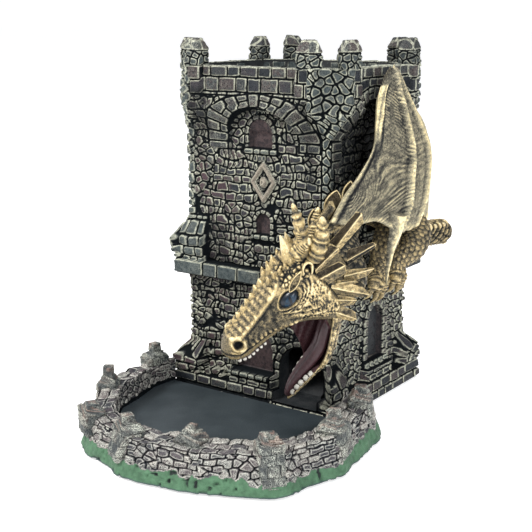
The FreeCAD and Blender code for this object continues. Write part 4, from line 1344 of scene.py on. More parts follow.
def post(parts, i, x, y, width, depth, foot, shoulder, knob_foot, top, knob_across,
         knob_along, knob_shift, lean, notched):
    """A block with sloping shoulders and a small knob of stone."""
    nearest = int(np.argmin(np.hypot(skirt[:, 0] - x, skirt[:, 1] - y)))
    out = skirt_out[nearest]
    tangent = np.array([-out[1], out[0]])
    centre = np.array([x, y]) + out * 0.3
    corners = np.array([(-width / 2, -depth / 2), (width / 2, -depth / 2),
                        (width / 2, depth / 2), (-width / 2, depth / 2)])
    ring, place = resample(round_ring(corners, 1.8, 5), 128)
    # scale across, scale along, height, sideways shift
    profile = [(0.93 + 0.07 * (z - foot) / max(shoulder - foot, 1), 1.0, z, 0.0)
               for z in np.arange(foot, shoulder, 0.45)]
    for t in (j / 12.0 for j in range(13)):
        profile.append((1 + (knob_across - 1) * t, 1 + (knob_along - 1) * t,
                        shoulder + (knob_foot - shoulder) * t ** 0.85, knob_shift * t))
    for t in (j / 7.0 for j in range(1, 8)):
        profile.append((knob_across * (1 - 0.06 * t), knob_along * (1 - 0.06 * t),
                        knob_foot + (top - 0.9 - knob_foot) * t, knob_shift))
    for t in (j / 8.0 for j in range(1, 9)):
        dome = 0.94 * math.sqrt(max(1 - t ** 2.4, 0.0))
        profile.append((knob_across * dome + 0.01, knob_along * dome + 0.01,
                        top - 0.9 + 0.9 * t ** 0.8, knob_shift))
    across, along, level, shift = np.array(profile).T[..., None]
    climb = np.hypot(np.diff(across[:, 0]) * width * 0.5, np.diff(level[:, 0]))
    rise = np.concatenate([[0], np.cumsum(climb)])[:, None]
    run = place[None] * np.maximum(across, 0.35) + 37.0 * i
    rise = np.broadcast_to(rise, run.shape)
    joint, number, stone_x, stone_y = blocks(
        run + 0.9 * ripple(run, rise, 4.0, 505 + i), rise + 0.9 * ripple(rise, run, 4.5, 506 + i),
        width * 0.46, 4.9, 500 + i, foot, None, 0.6)
    joint = joint + 0.16 + 0.5 * (level > knob_foot)
    height = stone_height((joint, number, stone_x, stone_y), run, rise, 560 + i, deep=0.6,
                          rounding=0.8, lift=0.3, rough=0.55)
    height = (height + 1.1 * ripple(run, rise, 3.6, 570 + i, 3)
              + 0.5 * ripple(run, rise, 1.3, 575 + i))
    outward = ring / np.hypot(ring[:, 0], ring[:, 1])[:, None]
    push = height * np.clip(np.minimum(across, along) / 0.35, 0, 1)
    push = push * np.where(level > knob_foot, 0.55, 0.9)
    side = ring[:, 0] * across + push * outward[:, 0] + shift
    forth = ring[:, 1] * along + push * outward[:, 1]
    slope = (level > shoulder - 0.2) & (level < knob_foot + 0.2)
    z = level + np.where(slope, 0.75 * height, 0.0)
    if notched:
        # a shallow square notch sunk in the outer half of the top
        notch = smooth(1.9 - np.abs(side - shift), 0.0, 0.6) * smooth(forth, 0.2, 0.9)
        notch = notch * smooth(z, knob_foot - 1.0, knob_foot + 0.2)
        z = z - 1.9 * notch
        joint = np.where(notch > 0.3, 0.30 + 0.2 * (1 - notch), joint)
    forth = forth + lean * np.clip((18.0 - z) / 8.0, 0, 1)
    x = centre[0] + tangent[0] * side + out[0] * forth
    y = centre[1] + tangent[1] * side + out[1] * forth
    # stay clear of the keep
    y = np.where(x < 54.6, np.minimum(y, BACK_Y - 0.05), y)
    points = np.stack([x, np.minimum(y, -42.1), np.minimum(z, 29.0)], -1)
    rubbed = smooth(noise2(run, rise, 5.0, 580 + i, 2), 0.48, 0.66)
    rubbed = (rubbed * smooth(level, shoulder - 2.5, knob_foot)
              + 0.5 * smooth(level, knob_foot, top))
    rubbed = np.clip(rubbed, 0, 1) * smooth(noise2(run, rise, 2.0, 590 + i), 0.40, 0.60)
    joint = np.where(joint < 0.34, joint, 0.34 + 2.4 * (joint - 0.34))
    parts.grid(points, closed=True, edge=np.clip(joint, 0, 3),
               rnd=np.clip(0.35 + 0.5 * number, 0, 1),
               relief=np.clip(1.1 * height + 0.22, -1, 1.2), tan=0.45 * rubbed)
    parts.cap(points[-1], edge=1.2, rnd=0.8, relief=0.5, tan=0.3)


def tray_posts():
    parts = Parts(*STONE, "tan")
    for i, row in enumerate(POSTS):
        post(parts, i, *row)
    return parts.make("tray_posts", POST_STONE, "tray", "tray_stone")


for obj in (*tray_walls(), back_sill(), tray_posts()):
    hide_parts("tray_casting")


# ---- felt and liner keep the frame's own shapes, with their own paint
def felt_paint():
    paint = Paint("felt_pad")
    fine = paint.noise(scale=5200, detail=3, rough=0.8)
    mid = paint.noise(scale=900, detail=3, rough=0.6)
    color = paint.mottle(fine, (0.010, 0.011, 0.013), (0.034, 0.036, 0.040),
                         start=0.3, end=0.7)
    return paint.finish(color, rough=0.95, specular=0.1, sheen=0.4,
                        normal=paint.bump(fine + mid, strength=0.8, distance=0.0004))


def liner_paint():
    paint = Paint("tray_floor_liner")
    fine = paint.noise(scale=1500, detail=4, rough=0.6)
    broad = paint.noise(scale=60, detail=3, rough=0.5)
    pebbles = paint.voronoi(scale=1300)
    color = paint.mottle(broad, (0.018, 0.026, 0.031), (0.030, 0.040, 0.046),
                         start=0.3, end=0.7)
    # pale flecks
    color = paint.mix(paint.step(fine, start=0.62, end=0.75) * 0.35, color,
                      (0.085, 0.100, 0.108))
    rough = paint.step(fine, start=0.3, end=0.7, before=0.42, after=0.56)
    return paint.finish(color, rough, specular=0.5, normal=paint.bump(
        fine + pebbles * 0.6, strength=0.35, distance=0.0003))


FELT = felt_paint()
repaint("tower_felt_pad", FELT)
repaint("tray_felt_pad", FELT)
repaint("tray_liner", liner_paint())

# ======================================================================================
# The dragon
# ======================================================================================


def smooth_curve(points, count):
    """Evenly spaced samples of a smooth curve through points, and distances along it.

    Spacing is measured over the first three columns; any others ride along.
    """
    points = np.asarray(points, float)
    padded = np.vstack([2 * points[0] - points[1], points, 2 * points[-1] - points[-2]])
    samples = []
    for i in range(1, len(padded) - 2):
        t = np.linspace(0, 1, 24, endpoint=False)[:, None]
        samples.append(spline_point(padded[i - 1:i + 3], t))
    samples = np.vstack(samples + [points[-1:]])
    steps = np.linalg.norm(np.diff(samples[:, :3], axis=0), axis=1)
    length = np.concatenate([[0], np.cumsum(steps)])
    place = np.linspace(0, length[-1], count)
    columns = [np.interp(place, length, column) for column in samples.T]
    return np.stack(columns, -1), place


def spline_point(points, t):
    """Catmull-Rom between the second and third of four points."""
    p0, p1, p2, p3 = points
    return 0.5 * (2 * p1 + (p2 - p0) * t + (2 * p0 - 5 * p1 + 4 * p2 - p3) * t ** 2
                  + (3 * p1 - p0 - 3 * p2 + p3) * t ** 3)


def cross_axes(centre, guide):
    """Two cross axes along a centreline, kept steady by a guide direction."""
    tangent = unit(np.gradient(centre, axis=0))
    guide = np.broadcast_to(np.asarray(guide, float), tangent.shape)
    normal = unit(guide - (guide * tangent).sum(-1, keepdims=True) * tangent)
    return normal, np.cross(tangent, normal)


def full_turn(count):
    return np.linspace(0, 2 * np.pi, count, endpoint=False)[None, :]


def sweep(centre, axes, radius, angle, wide=1.0, flat=1.0):
    """Rings of points round a centreline."""
    normal, side = axes
    ring = (wide * np.cos(angle)[..., None] * normal[:, None]
            + flat * np.sin(angle)[..., None] * side[:, None])
    return centre[:, None] + radius[..., None] * ring


def scales(run, rise, width, height, wrap=None, seed=0):
    """Overlapping scales pointing along rise: height 0..1 and a number for each scale."""
    if wrap:
        count = max(3, int(round(wrap / width)))
        width = wrap / count
    best = np.full(run.shape, -9.0)
    number = np.zeros(run.shape)
    for row_step in (-1, 0, 1):
        row = np.floor(rise / height) + row_step
        shift = 0.5 * np.mod(row, 2)
        for col_step in (-1, 0, 1):
            col = np.floor(run / width - shift) + col_step
            key = np.mod(col, count) if wrap else col
            first, second = hash01(key, row, seed), hash01(key, row, seed + 1)
            centre = (col + shift + 0.5 + 0.12 * (first - 0.5)) * width
            x = (run - centre) / (0.56 * width)
            y = (rise - row * height) / (1.55 * height)
            outline = np.abs(x) ** 2.2 + np.clip((y - 0.35) / 0.65, 0, 2) ** 2.2
            gap = (1 - np.sqrt(np.clip(outline, 0, 4))) * 0.5 * min(width, height)
            level = 0.12 + 0.80 * np.clip(y, 0, 1) + 0.22 * (1 - x * x)
            level = level + 0.10 * (second - 0.5) - 0.55 * (1 - smooth(gap, 0.0, 0.22))
            take = (outline < 1) & (y > -0.05) & (level > best)
            best = np.where(take, level, best)
            number = np.where(take, first, number)
    return np.clip(np.where(best < -5, 0.0, best), 0, 1.2), number


def nodules(points, size, seed):
    """Rounded lumps on a jittered lattice: dome height 0..1 and a number for each."""
    points = points / size
    nearest = np.full(points.shape[:-1], 9.0)
    second = np.full(points.shape[:-1], 9.0)
    number = np.zeros(points.shape[:-1])
    for step in np.ndindex(3, 3, 3):
        cell = np.floor(points) + np.array(step) - 1
        jitter = np.stack([hash01(cell[..., 0], cell[..., 1], cell[..., 2], seed + k)
                           for k in range(3)], -1)
        gap = np.linalg.norm(points - (cell + 0.5 + 0.8 * (jitter - 0.5)), axis=-1)
        nearer = gap < nearest
        second = np.where(nearer, nearest, np.minimum(second, gap))
        number = np.where(nearer, jitter[..., 0], number)
        nearest = np.where(nearer, gap, nearest)
    return smooth(second - nearest, 0.0, 0.45), number


def metal_paint(name, stops, stipple=0.62, metal=0.35, rough=0.36):
    """Antique metallic paint. Attributes: cav 0 wash .. 1 rubbed, tone 0 gold .. 1 dark,
    maw 1 inside the mouth. stipple is the depth of the dark specks."""
    paint = Paint(name)
    cav, tone, maw = map(paint.attribute, ("cav", "tone", "maw"))
    fine = paint.noise(scale=2600, detail=5, rough=0.70)
    mid = paint.noise(scale=700, detail=4, rough=0.62)
    broad = paint.noise(scale=140, detail=2, rough=0.5)
    # wear: the height varied by the noises, less the specks, which thin out on rubbed spots
    wear = cav + (mid - 0.5) * 0.42
    wear = wear + (broad - 0.5) * 0.20
    specks = paint.fall(fine, start=0.33, end=0.55) * stipple
    wear = wear - specks * paint.step(cav, start=0.75, end=1.05, before=1.0, after=0.35)
    color = paint.ramp(wear, stops)
    dark = paint.mottle(fine + cav * 0.2, (0.020, 0.017, 0.012), (0.085, 0.062, 0.035),
                        start=0.45, end=0.68)
    color = paint.mix(tone, color, dark)
    mouth = paint.mottle(mid, (0.034, 0.013, 0.015), (0.054, 0.021, 0.024),
                         start=0.3, end=0.7)
    mouth = paint.mix(paint.fall(cav, start=0.15, end=0.55), mouth, (0.020, 0.006, 0.008))
    color = paint.mix(maw, color, mouth)
    bare = paint.step(wear, start=0.30, end=0.70) * metal
    metallic = paint.math("MULTIPLY", bare, 1.0 - paint.math("MAXIMUM", tone, maw),
                          clamp=True)
    # the relief is softer inside the mouth
    normal = paint.bump(fine * 0.9 + mid * 0.6, strength=0.55 - maw * 0.35,
                        distance=0.00025)
    return paint.finish(
        color, paint.step(wear, start=0.2, end=0.9, before=0.62, after=rough),
        metal=metallic, normal=normal,
        specular=paint.step(wear, start=0.25, end=0.65, before=0.06, after=0.5))


# (wear, colour) from the wash to the rubbed edges
GOLD_TONES = [(0.0, (0.008, 0.009, 0.010)), (0.20, (0.024, 0.025, 0.023)),
              (0.38, (0.078, 0.069, 0.050)), (0.56, (0.215, 0.170, 0.092)),
              (0.74, (0.405, 0.305, 0.142)), (0.90, (0.590, 0.450, 0.215)),
              (1.0, (0.790, 0.665, 0.400))]
KHAKI_TONES = [(0.0, (0.014, 0.015, 0.016)), (0.22, (0.050, 0.049, 0.045)),
               (0.42, (0.152, 0.138, 0.098)), (0.62, (0.340, 0.300, 0.196)),
               (0.80, (0.535, 0.458, 0.265)), (0.93, (0.750, 0.610, 0.325)),
               (1.0, (0.900, 0.780, 0.480))]
GOLD = metal_paint("antique_gold_paint", GOLD_TONES)
WING_KHAKI = metal_paint("wing_khaki_paint", KHAKI_TONES, stipple=0.52, metal=0.28, rough=0.42)
HORN_GOLD = metal_paint("horn_gold_paint", GOLD_TONES, stipple=0.30, metal=0.45, rough=0.34)
METAL = ("cav", "tone", "maw")
dragon = {}


def dragon_piece(parts, name, node, material=GOLD, slot="antique_gold"):
    """Makes the object and notes which frame node it stands in for."""
    dragon.setdefault(node, []).append(parts.make(name, material, "tower", slot))


# ---- the head's own axes: ahead along the snout, sideways and up
HEAD_BASE, HEAD_SCALE = np.array([68.2, -70.0, 84.6]), 0.967
HEAD_ROLL = math.radians(16.0)
HEAD_AHEAD = unit(np.array([-0.635, -0.554, -0.537]))
level_side = unit(np.array([-HEAD_AHEAD[1], HEAD_AHEAD[0], 0.0]))
level_side = level_side if level_side[0] > 0 else -level_side
level_up = unit(np.cross(level_side, HEAD_AHEAD))
level_up = level_up if level_up[2] > 0 else -level_up
HEAD_SIDE = level_side * math.cos(HEAD_ROLL) - level_up * math.sin(HEAD_ROLL)
HEAD_UP = level_up * math.cos(HEAD_ROLL) + level_side * math.sin(HEAD_ROLL)


def on_head(ahead, side, up):
    ahead, side, up = (np.asarray(value, float)[..., None]
                       for value in np.broadcast_arrays(ahead, side, up))
    return HEAD_BASE + HEAD_SCALE * (ahead * HEAD_AHEAD + side * HEAD_SIDE + up * HEAD_UP)


# stations of the skull: place ahead, then top, bottom, half width and middle height there
SKULL_AHEAD = [-5, 0, 4, 8, 14, 20, 26, 32, 40, 50, 57, 62, 65, 66.6]
SKULL_TOP = [17, 21.5, 24.5, 26.5, 27.5, 26.0, 23.5, 20.5, 16.2, 11.6, 8.4, 5.6, 3.0, 0.9]
SKULL_BOTTOM = [-3, -7, -11.5, -14.0, -14.2, -9.6, -5.9, -4.3, -3.2, -4.3, -5.3, -4.2, -2.2,
                0.1]
SKULL_WIDTH = [8.0, 11.0, 13.0, 14.2, 14.6, 13.8, 12.6, 11.6, 10.3, 9.2, 8.8, 7.4, 4.6, 0.6]
SKULL_MIDDLE = [6, 6, 5, 4.5, 4, 4.5, 5, 5, 4.2, 2.6, 1.6, 0.8, 0.5, 0.5]
# creases from the eye to the corner of the mouth: (ahead, up) points, width, height
FACE_CREASES = [
    ([(33, 8.0), (28, 6.0), (22, 3.6), (16, 2.6)], 0.55, 0.55),
    ([(31, 5.2), (26, 2.6), (20, 0.0), (14, -1.5)], 0.5, 0.5),
    ([(40, 3.6), (33, 1.0), (27, -0.8), (20, -4.2), (15, -7.6)], 0.6, 0.7),
    ([(36, 5.2), (30, 3.2), (24, 0.9)], 0.4, 0.35),
    ([(27, -2.4), (22, -5.4), (17, -9.2)], 0.45, 0.5),
]
EYE_AHEAD, EYE_TILT = 25.4, math.radians(-20)


def skull_at(ahead):
    """Top, bottom, half width and middle of the skull, interpolated smoothly."""
    xs = np.asarray(SKULL_AHEAD, float)
    k = np.clip(np.searchsorted(xs, ahead) - 1, 0, len(xs) - 2)
    step = xs[k + 1] - xs[k]
    t = np.clip((ahead - xs[k]) / step, 0, 1)
    found = []
    for column in (SKULL_TOP, SKULL_BOTTOM, SKULL_WIDTH, SKULL_MIDDLE):
        ys = np.asarray(column, float)
        slope = np.gradient(ys, xs)
        found.append(ys[k] * (1 + 2 * t) * (1 - t) ** 2 + step * slope[k] * t * (1 - t) ** 2
                     + ys[k + 1] * t * t * (3 - 2 * t) + step * slope[k + 1] * t * t * (t - 1))
    return found


def skull():
    ahead = np.linspace(-5, 66.6, 250)[:, None]
    angle = full_turn(230)
    top, bottom, width, middle = skull_at(ahead)
    cosine, sine = np.cos(angle), np.sin(angle)
    across = width * np.sign(cosine) * np.abs(cosine) ** 0.88
    up = np.where(sine > 0, middle + (top - middle) * np.abs(sine) ** 0.92,
                  middle - (middle - bottom) * np.abs(sine) ** 0.62)
    ahead = np.broadcast_to(ahead, across.shape).copy()
    # outward direction in the cross-section
    out_x = across / width ** 2
    out_y = (up - middle) / np.where(sine > 0, (top - middle) ** 2, (middle - bottom) ** 2)
    length = np.hypot(out_x, out_y) + 1e-9
    off = np.abs(across)
    push = np.zeros_like(across)
    cav = np.full_like(across, 0.56)
    space = np.stack([ahead, across, up], -1)
    upper, side = sine > 0, sine > -0.35

    def raise_by(weight, height, bright):
        nonlocal push, cav
        push = push + height * weight
        cav = cav + bright * weight

    def cover(weight, height, bright):
        """Add a height and blend to a brightness."""
        nonlocal push, cav
        push = push + weight * height
        cav = lerp(cav, bright, weight)

    def seam(points, seam_width):
        return bell(poly_dist(ahead, up, points), seam_width)
    # ridged bridge of the snout, above the lateral line
    lateral = np.interp(ahead, [20, 26, 33, 40, 46, 53, 58, 64],
                        [24, 20, 15.5, 12.0, 9.3, 6.6, 5.6, 4.8])
    bridge = smooth(up - lateral, -0.6, 0.8) * upper
    phase = (ahead + 0.22 * off + 0.8 * (noise3(space, 5.0, 3) - 0.5)) / 3.05
    row = np.floor(phase)
    shifted = off + 1.3 * np.mod(row, 2)
    split = np.abs(np.mod(shifted, 3.4) - 1.7)
    number = hash01(row, np.floor(shifted / 3.4), np.sign(across) + 2)
    scale = scales(across + 0.5 * np.sin(ahead), -(ahead + 0.22 * off), 3.1, 2.7, None, 5)[0]
    ridges = sawtooth(phase, 0.74, 1.25) * (0.55 + 0.45 * number)
    ridges = ridges * (0.60 + 0.40 * smooth(split, 0.10, 0.70)) * 0.62
    ridges = np.clip(ridges + 0.45 * scale, 0, 1.1)
    cover(bridge * plateau(ahead, 19.5, 25, 59.5, 63.5), 1.55 * ridges - 0.35,
          0.16 + 0.88 * ridges)
    raise_by(bell(up - lateral, 0.75) * upper * plateau(ahead, 22, 28, 56, 60), 0.65, 0.38)
    raise_by(bell(up - lateral + 1.7, 0.8) * plateau(ahead, 28, 33, 56, 60) * side,
             -0.5, -0.42)
    # nodules on the crown
    dome, number = nodules(space, 2.15, 21)
    crown = smooth(up, 15.5, 18.5) * plateau(ahead, -2, 3, 23.5, 28.5)
    crown = crown * (1 - bridge * smooth(ahead, 22, 27)) * (1 - 0.85 * bell(off, 2.3))
    cover(np.clip(crown, 0, 1), 1.15 * dome * (0.75 + 0.5 * number) - 0.3,
          0.10 + 0.85 * dome)
    # crest plates running over the crown
    plates = sawtooth((ahead + 0.15 * off) / 3.3, 0.7)
    cover(np.exp(-(off / 2.4) ** 4) * upper * plateau(ahead, 2, 7, 21, 26), 1.6 * plates,
          0.2 + 0.8 * plates)
    # cheek: smooth and stippled, framed by a raised seam
    cheek = plateau(ahead, 6, 9, 24, 29) * plateau(up, -12.5, -9, 12.5, 15.5) * side
    stipple = noise3(space, 0.62, 5)
    bulge = np.exp(-(((ahead - 14) / 8) ** 2 + ((up + 1) / 8) ** 2))
    push = push + cheek * (0.9 * bulge + 0.30 * (stipple - 0.5))
    cav = lerp(cav, 0.28 + 0.72 * smooth(stipple, 0.30, 0.62), cheek * 0.9)
    raise_by(seam([(12.5, 21), (10.0, 15), (8.5, 8), (7.8, 0), (9.0, -7), (12.0, -11)],
                  0.85) * side, 0.75, 0.32)
    raise_by(seam([(10.6, 21), (8.0, 15), (6.4, 8), (5.8, 0), (7.0, -8), (10.0, -12.5)],
                  0.9) * side, -0.9, -0.45)
    for points, crease_width, height in FACE_CREASES:
        gap = poly_dist(ahead, up, points)
        raise_by(bell(gap, crease_width) * side, height, 0.40)
        raise_by(bell(gap - 2 * crease_width, crease_width * 0.8) * side,
                 -0.35 * height, -0.30)
    # flank of the snout, between the lateral line and the lips
    flank = plateau(ahead, 28, 33, 55, 60) * (1 - smooth(up - lateral, -2.6, -1.0))
    grain = noise3(space, 1.2, 8)
    cover(flank * smooth(up, -0.5, 1.5) * side, -0.35 + 0.5 * (grain - 0.5),
          0.22 + 0.5 * grain)
    # lips: a roll, a groove and beads above it
    lip = np.interp(ahead, [12, 18, 22, 27, 36, 42, 48, 56, 62, 66],
                    [-12, -10.2, -7.3, -4.4, -2.7, -1.8, -2.6, -3.7, -2.6, -0.5])
    raise_by(bell(up - lip, 1.15) * (sine > -0.97) * smooth(ahead, 12, 16), 0.75, 0.26)
    raise_by(bell(up - lip - 2.1, 0.55) * side * smooth(ahead, 16, 22), -0.45, -0.42)
    bead = np.abs(np.mod(ahead, 2.5) - 1.25)
    raise_by(bell(up - lip - 3.5, 0.85) * side * plateau(ahead, 27, 30, 52, 55),
             0.75 * (1 - smooth(bead, 0.45, 1.2)),
             0.55 * (1 - smooth(bead, 0.4, 1.0)) - 0.22)
    # nostril: raised rim, deep hole and the curl behind it
    near = off > 3.5
    gap = np.hypot(ahead - 57.4, up - 3.6)
    raise_by(bell(gap - 2.9, 0.75) * near, 0.85, 0.42)
    cover((1 - smooth(gap, 1.5, 2.4)) * near, -2.4, 0.0)
    raise_by(seam([(53.5, 4.8), (55.0, 0.6), (59.0, -0.6), (62.0, 1.2)], 0.55) * near,
             0.6, 0.4)
    raise_by(seam([(52.0, 4.0), (54.0, -0.9), (59.5, -2.2)], 0.5) * near, -0.5, -0.4)
    # eye socket, lids and the wrinkles under it
    eye_x, eye_y = ahead - EYE_AHEAD, up - 12.4
    long = eye_x * math.cos(EYE_TILT) + eye_y * math.sin(EYE_TILT)
    tall = -eye_x * math.sin(EYE_TILT) + eye_y * math.cos(EYE_TILT)
    almond = (np.abs(long / 5.7) ** 1.6 + np.abs(tall / 3.3) ** 1.8) ** 0.58
    ring = (almond - 1.0) * 3.6
    near = (off > 5) & (sine > -0.2)
    cover((1 - smooth(almond, 0.80, 1.0)) * near, -2.1, 0.05)
    lid = bell(ring - 0.75, 0.5) * near
    push = push + 0.85 * lid
    cav = np.maximum(cav, 0.90 * lid)
    under_eye = near * (1 - smooth(tall, -0.5, 1.5)) * (1 - smooth(long, 6, 9))
    for place, height in ((2.3, 0.34), (3.5, 0.30), (4.8, 0.20)):
        raise_by(bell(ring - place, 0.42) * under_eye, height, 0.42)
        raise_by(bell(ring - place + 0.75, 0.35) * under_eye, -0.4 * height, -0.45)
    # brow: heavy ledge above the eye
    raise_by(seam([(33, 15.4), (28, 17.0), (22, 18.6), (16.5, 19.6)], 1.25) * upper,
             1.1, 0.28)
    # underside: arched, ribbed and painted like the mouth
    palate = (sine < -0.60) & (ahead > 9) & (ahead < 63.5)
    arch = np.clip(1 - (across / (width * 0.80)) ** 2, 0, 1)
    lift = np.where(palate, arch ** 0.6, 0.0) * plateau(ahead, 9, 15, 60, 64)
    ribs = np.abs(np.mod(ahead, 3.1) - 1.55) / 1.55
    up = up + push * out_y / length + 4.2 * lift + 0.35 * ribs * lift
    across = across + push * out_x / length
    maw = np.where(palate, smooth(arch, 0.02, 0.12), 0.0)
    cav = np.where(maw > 0.3, 0.35 + 0.4 * ribs, cav)
    parts = Parts(*METAL)
    parts.tube(on_head(ahead, across, up), dict(cav=0.3, tone=0.4), dict(cav=0.7), flip=True,
               cav=np.clip(cav, 0, 1.05), maw=maw)
    dragon_piece(parts, "head_skull", "dragon_head")


def spike(parts, base, point, radius, steps=90, sides=28, ring_pitch=0.0, ring_depth=0.35,
          bend=(0, 0, 0), flat=1.0, taper=0.9, tip=0.25, seed=0, shine=0.45, ring_end=0.75):
    """A curved horn or claw, ringed up to ring_end if a ring pitch is given."""
    base, point = np.asarray(base, float), np.asarray(point, float)
    t = np.linspace(0, 1, steps)
    bow = np.asarray(bend, float) * (4 * t * (1 - t))[:, None]
    centre = base + (point - base) * t[:, None] + bow
    tangent = unit(np.gradient(centre, axis=0))
    guide = np.array([0.3, 0.2, 1.0])
    if abs(np.dot(unit(guide), tangent[0])) > 0.92:
        guide = np.array([1.0, -0.4, 0.1])
    normal = unit(np.cross(tangent, guide))
    angle = full_turn(sides)
    core = radius * (1 - t) ** taper + tip * (1 - t) ** 0.3
    core[-1] = 0.02
    t, core = t[:, None], core[:, None]
    along = t * np.linalg.norm(point - base)
    cav = np.full((steps, sides), shine) + 0.45 * t
    push = np.zeros((steps, sides))
    if ring_pitch:
        phase = (along + 0.35 * np.sin(angle + seed) + 0.55 * np.sin(0.9 * along + seed)
                 + 0.9 * ripple(along, angle * 1.5, 1.7, 9 + seed))
        ring = sawtooth(phase / ring_pitch, 0.68)
        ringed = 1 - smooth(t, ring_end, min(1.0, ring_end + 0.15))
        push = push + ring_depth * (ring - 0.5) * ringed
        cav = lerp(cav, 0.28 + 0.70 * ring ** 0.8, ringed * 0.85)
    flutes = np.abs(np.sin(angle * 4 + seed)) * (1 - t)
    grain = ripple(angle * 3 + seed * 7, along, 0.8, 3 + seed)
    push = push + 0.12 * (flutes - 0.5) * radius + 0.16 * grain * (core / radius)
    points = sweep(centre, (normal, np.cross(tangent, normal)),
                   core + push * np.clip(core / (0.45 * radius), 0, 1), angle, flat=flat)
    parts.grid(points, closed=True, cav=np.clip(cav + 0.35 * grain, 0, 1.05))
    parts.cap(points[0], flip=True, cav=0.3)


# base and point as (ahead, side, up), radius, shape
HORNS = [
    ((15.4, 4.2, 25.5), (13.2, 5, 39.3), 3.1,
     dict(bend=(0.2, 0.1, 0), seed=1, shine=0.72, taper=0.75, tip=0.5)),
    ((9.0, 5.4, 25.0), (0.9, 7.2, 50.6), 3.1,
     dict(ring_pitch=4.3, ring_depth=1.0, bend=(1.3, 0, 0.6), seed=2, ring_end=0.86,
          taper=0.5, tip=0.7, shine=0.6)),
    ((11.5, 6.5, 25.0), (4.6, 9.5, 40.5), 2.3,
     dict(ring_pitch=1.5, ring_depth=0.55, seed=3, bend=(0.8, 0, 0.6))),
    ((4.6, 8.8, 21.0), (-7.1, 12.0, 39.4), 3.5,
     dict(ring_pitch=3.6, ring_depth=1.0, bend=(0.9, 0, 0.6), taper=0.45, tip=0.9, seed=4,
          ring_end=0.80, shine=0.6)),
    ((12.5, -6.0, 24.0), (10.5, -8.0, 32.0), 2.7, dict(seed=5, shine=0.6)),
    ((7.0, -6.0, 22.0), (0.5, -9.0, 34.0), 2.9,
     dict(ring_pitch=1.7, ring_depth=0.5, bend=(-0.8, 0.8, 0.6), seed=6, ring_end=0.62)),
    ((2.5, -10.0, 16), (-9, -14, 30), 3.6,
     dict(ring_pitch=1.9, ring_depth=0.6, bend=(-0.6, 0.8, 0.6), taper=0.6, tip=0.8,
          seed=7, ring_end=0.8)),
    ((12.5, 7.5, 27.5), (2.5, 9.5, 30.5), 2.2,
     dict(ring_pitch=1.3, ring_depth=0.35, bend=(0, 0, 1.2), seed=9, taper=0.25, tip=1.2,
          shine=0.85, flat=0.8)),
]


def horns():
    parts = Parts(*METAL)
    for base, point, radius, shape in HORNS:
        spike(parts, on_head(*base), on_head(*point), radius, **shape)
    # small spikes standing along the crest
    for i in range(11):
        ahead = 56.0 - 3.3 * i
        top = skull_at(ahead)[0]
        side = 0.5 if i % 2 else -0.6
        spike(parts, on_head(ahead, side, top - 1.0),
              on_head(ahead + 1.2 - 0.22 * i, side, top + 2.1 + 0.22 * i), 1.35 + 0.05 * i,
              steps=26, sides=14, flat=1.5, taper=0.8, tip=0.2, seed=20 + i, shine=0.55)
    # and in a row over each brow
    for i in range(6):
        for side in (1, -1):
            ahead = 29.5 - 3.4 * i
            spike(parts, on_head(ahead, side * (4.6 + 0.5 * i), 21.0 + 0.9 * i),
                  on_head(ahead - 1.0, side * (6.0 + 0.6 * i), 24.4 + 0.85 * i), 1.25,
                  steps=24, sides=14, taper=0.7, tip=0.3, seed=50 + i, shine=0.5)
    dragon_piece(parts, "head_horns", "dragon_horns", HORN_GOLD, "horn")


def leaf(parts, base, point, width, facing, thick=1.1, rim=0.55, power=0.75, tone=0.85,
         belly=0.0, shine=0.35, shift=0.5):
    """An oval plate with a raised gold rim round a darker field."""
    base, point = np.asarray(base, float), np.asarray(point, float)
    facing = unit(np.asarray(facing, float))
    tangent = unit(point - base)
    facing = unit(facing - np.dot(facing, tangent) * tangent)
    across = np.cross(tangent, facing)
    v = np.linspace(0, 1, 44)[:, None]
    u = np.linspace(-1, 1, 26)[None, :]
    length = np.linalg.norm(point - base)
    half = width * np.clip(np.sin(np.pi * v ** (shift * 2)), 0, 1) ** power
    x = half * u
    gap = np.minimum((1 - np.abs(u)) * np.maximum(half, 0.01), np.minimum(v, 1 - v) * length)
    roll = bell(gap - rim * 0.8, rim * 0.7)
    swell = belly * (1 - (2 * v - 1) ** 2)
    grain = ripple(x + 13, v * length, 0.9, 7)
    front = 0.55 * thick + 0.55 * roll - 0.35 * smooth(gap, rim, rim * 2.6)
    front = np.where(gap < 0.02, 0.0, front) + swell
    front = front + 0.18 * grain * smooth(gap, rim, rim * 2)
    back = -0.55 * thick * smooth(gap, 0, 0.5) + swell
    cav = lerp(shine + 0.5 * grain, 1.0, np.clip(roll * 1.15, 0, 1))
    plane = base + tangent * (v * length)[..., None] + across * x[..., None]
    parts.grid(plane + facing * front[..., None], cav=np.clip(cav, 0, 1.05),
               tone=np.clip(tone * smooth(gap, rim, rim * 1.9), 0, 1))
    parts.grid(plane + facing * back[..., None], flip=True, cav=0.45, tone=0.3)


def neck_leaves():
    parts = Parts(*METAL)
    # base, point, half width, swell, darkness of the field
    for base, point, width, belly, tone in (
            ((50.6, -64.5, 101.5), (50.9, -66.0, 113.6), 3.1, 0.4, 0.85),
            ((54.5, -57.0, 106.0), (57.8, -57.0, 121.9), 4.7, 0.6, 0.8),
            ((57.2, -46.6, 112.0), (59.2, -46.8, 125.0), 3.3, 0.4, 0.7),
            ((60.0, -70.5, 98.0), (58.0, -72.5, 107.0), 2.6, 0.4, 0.7)):
        leaf(parts, base, point, width, (0.56, -0.80, 0.22), belly=belly, tone=tone)
    dragon_piece(parts, "neck_leaf_spines", "dragon_neck_spines")


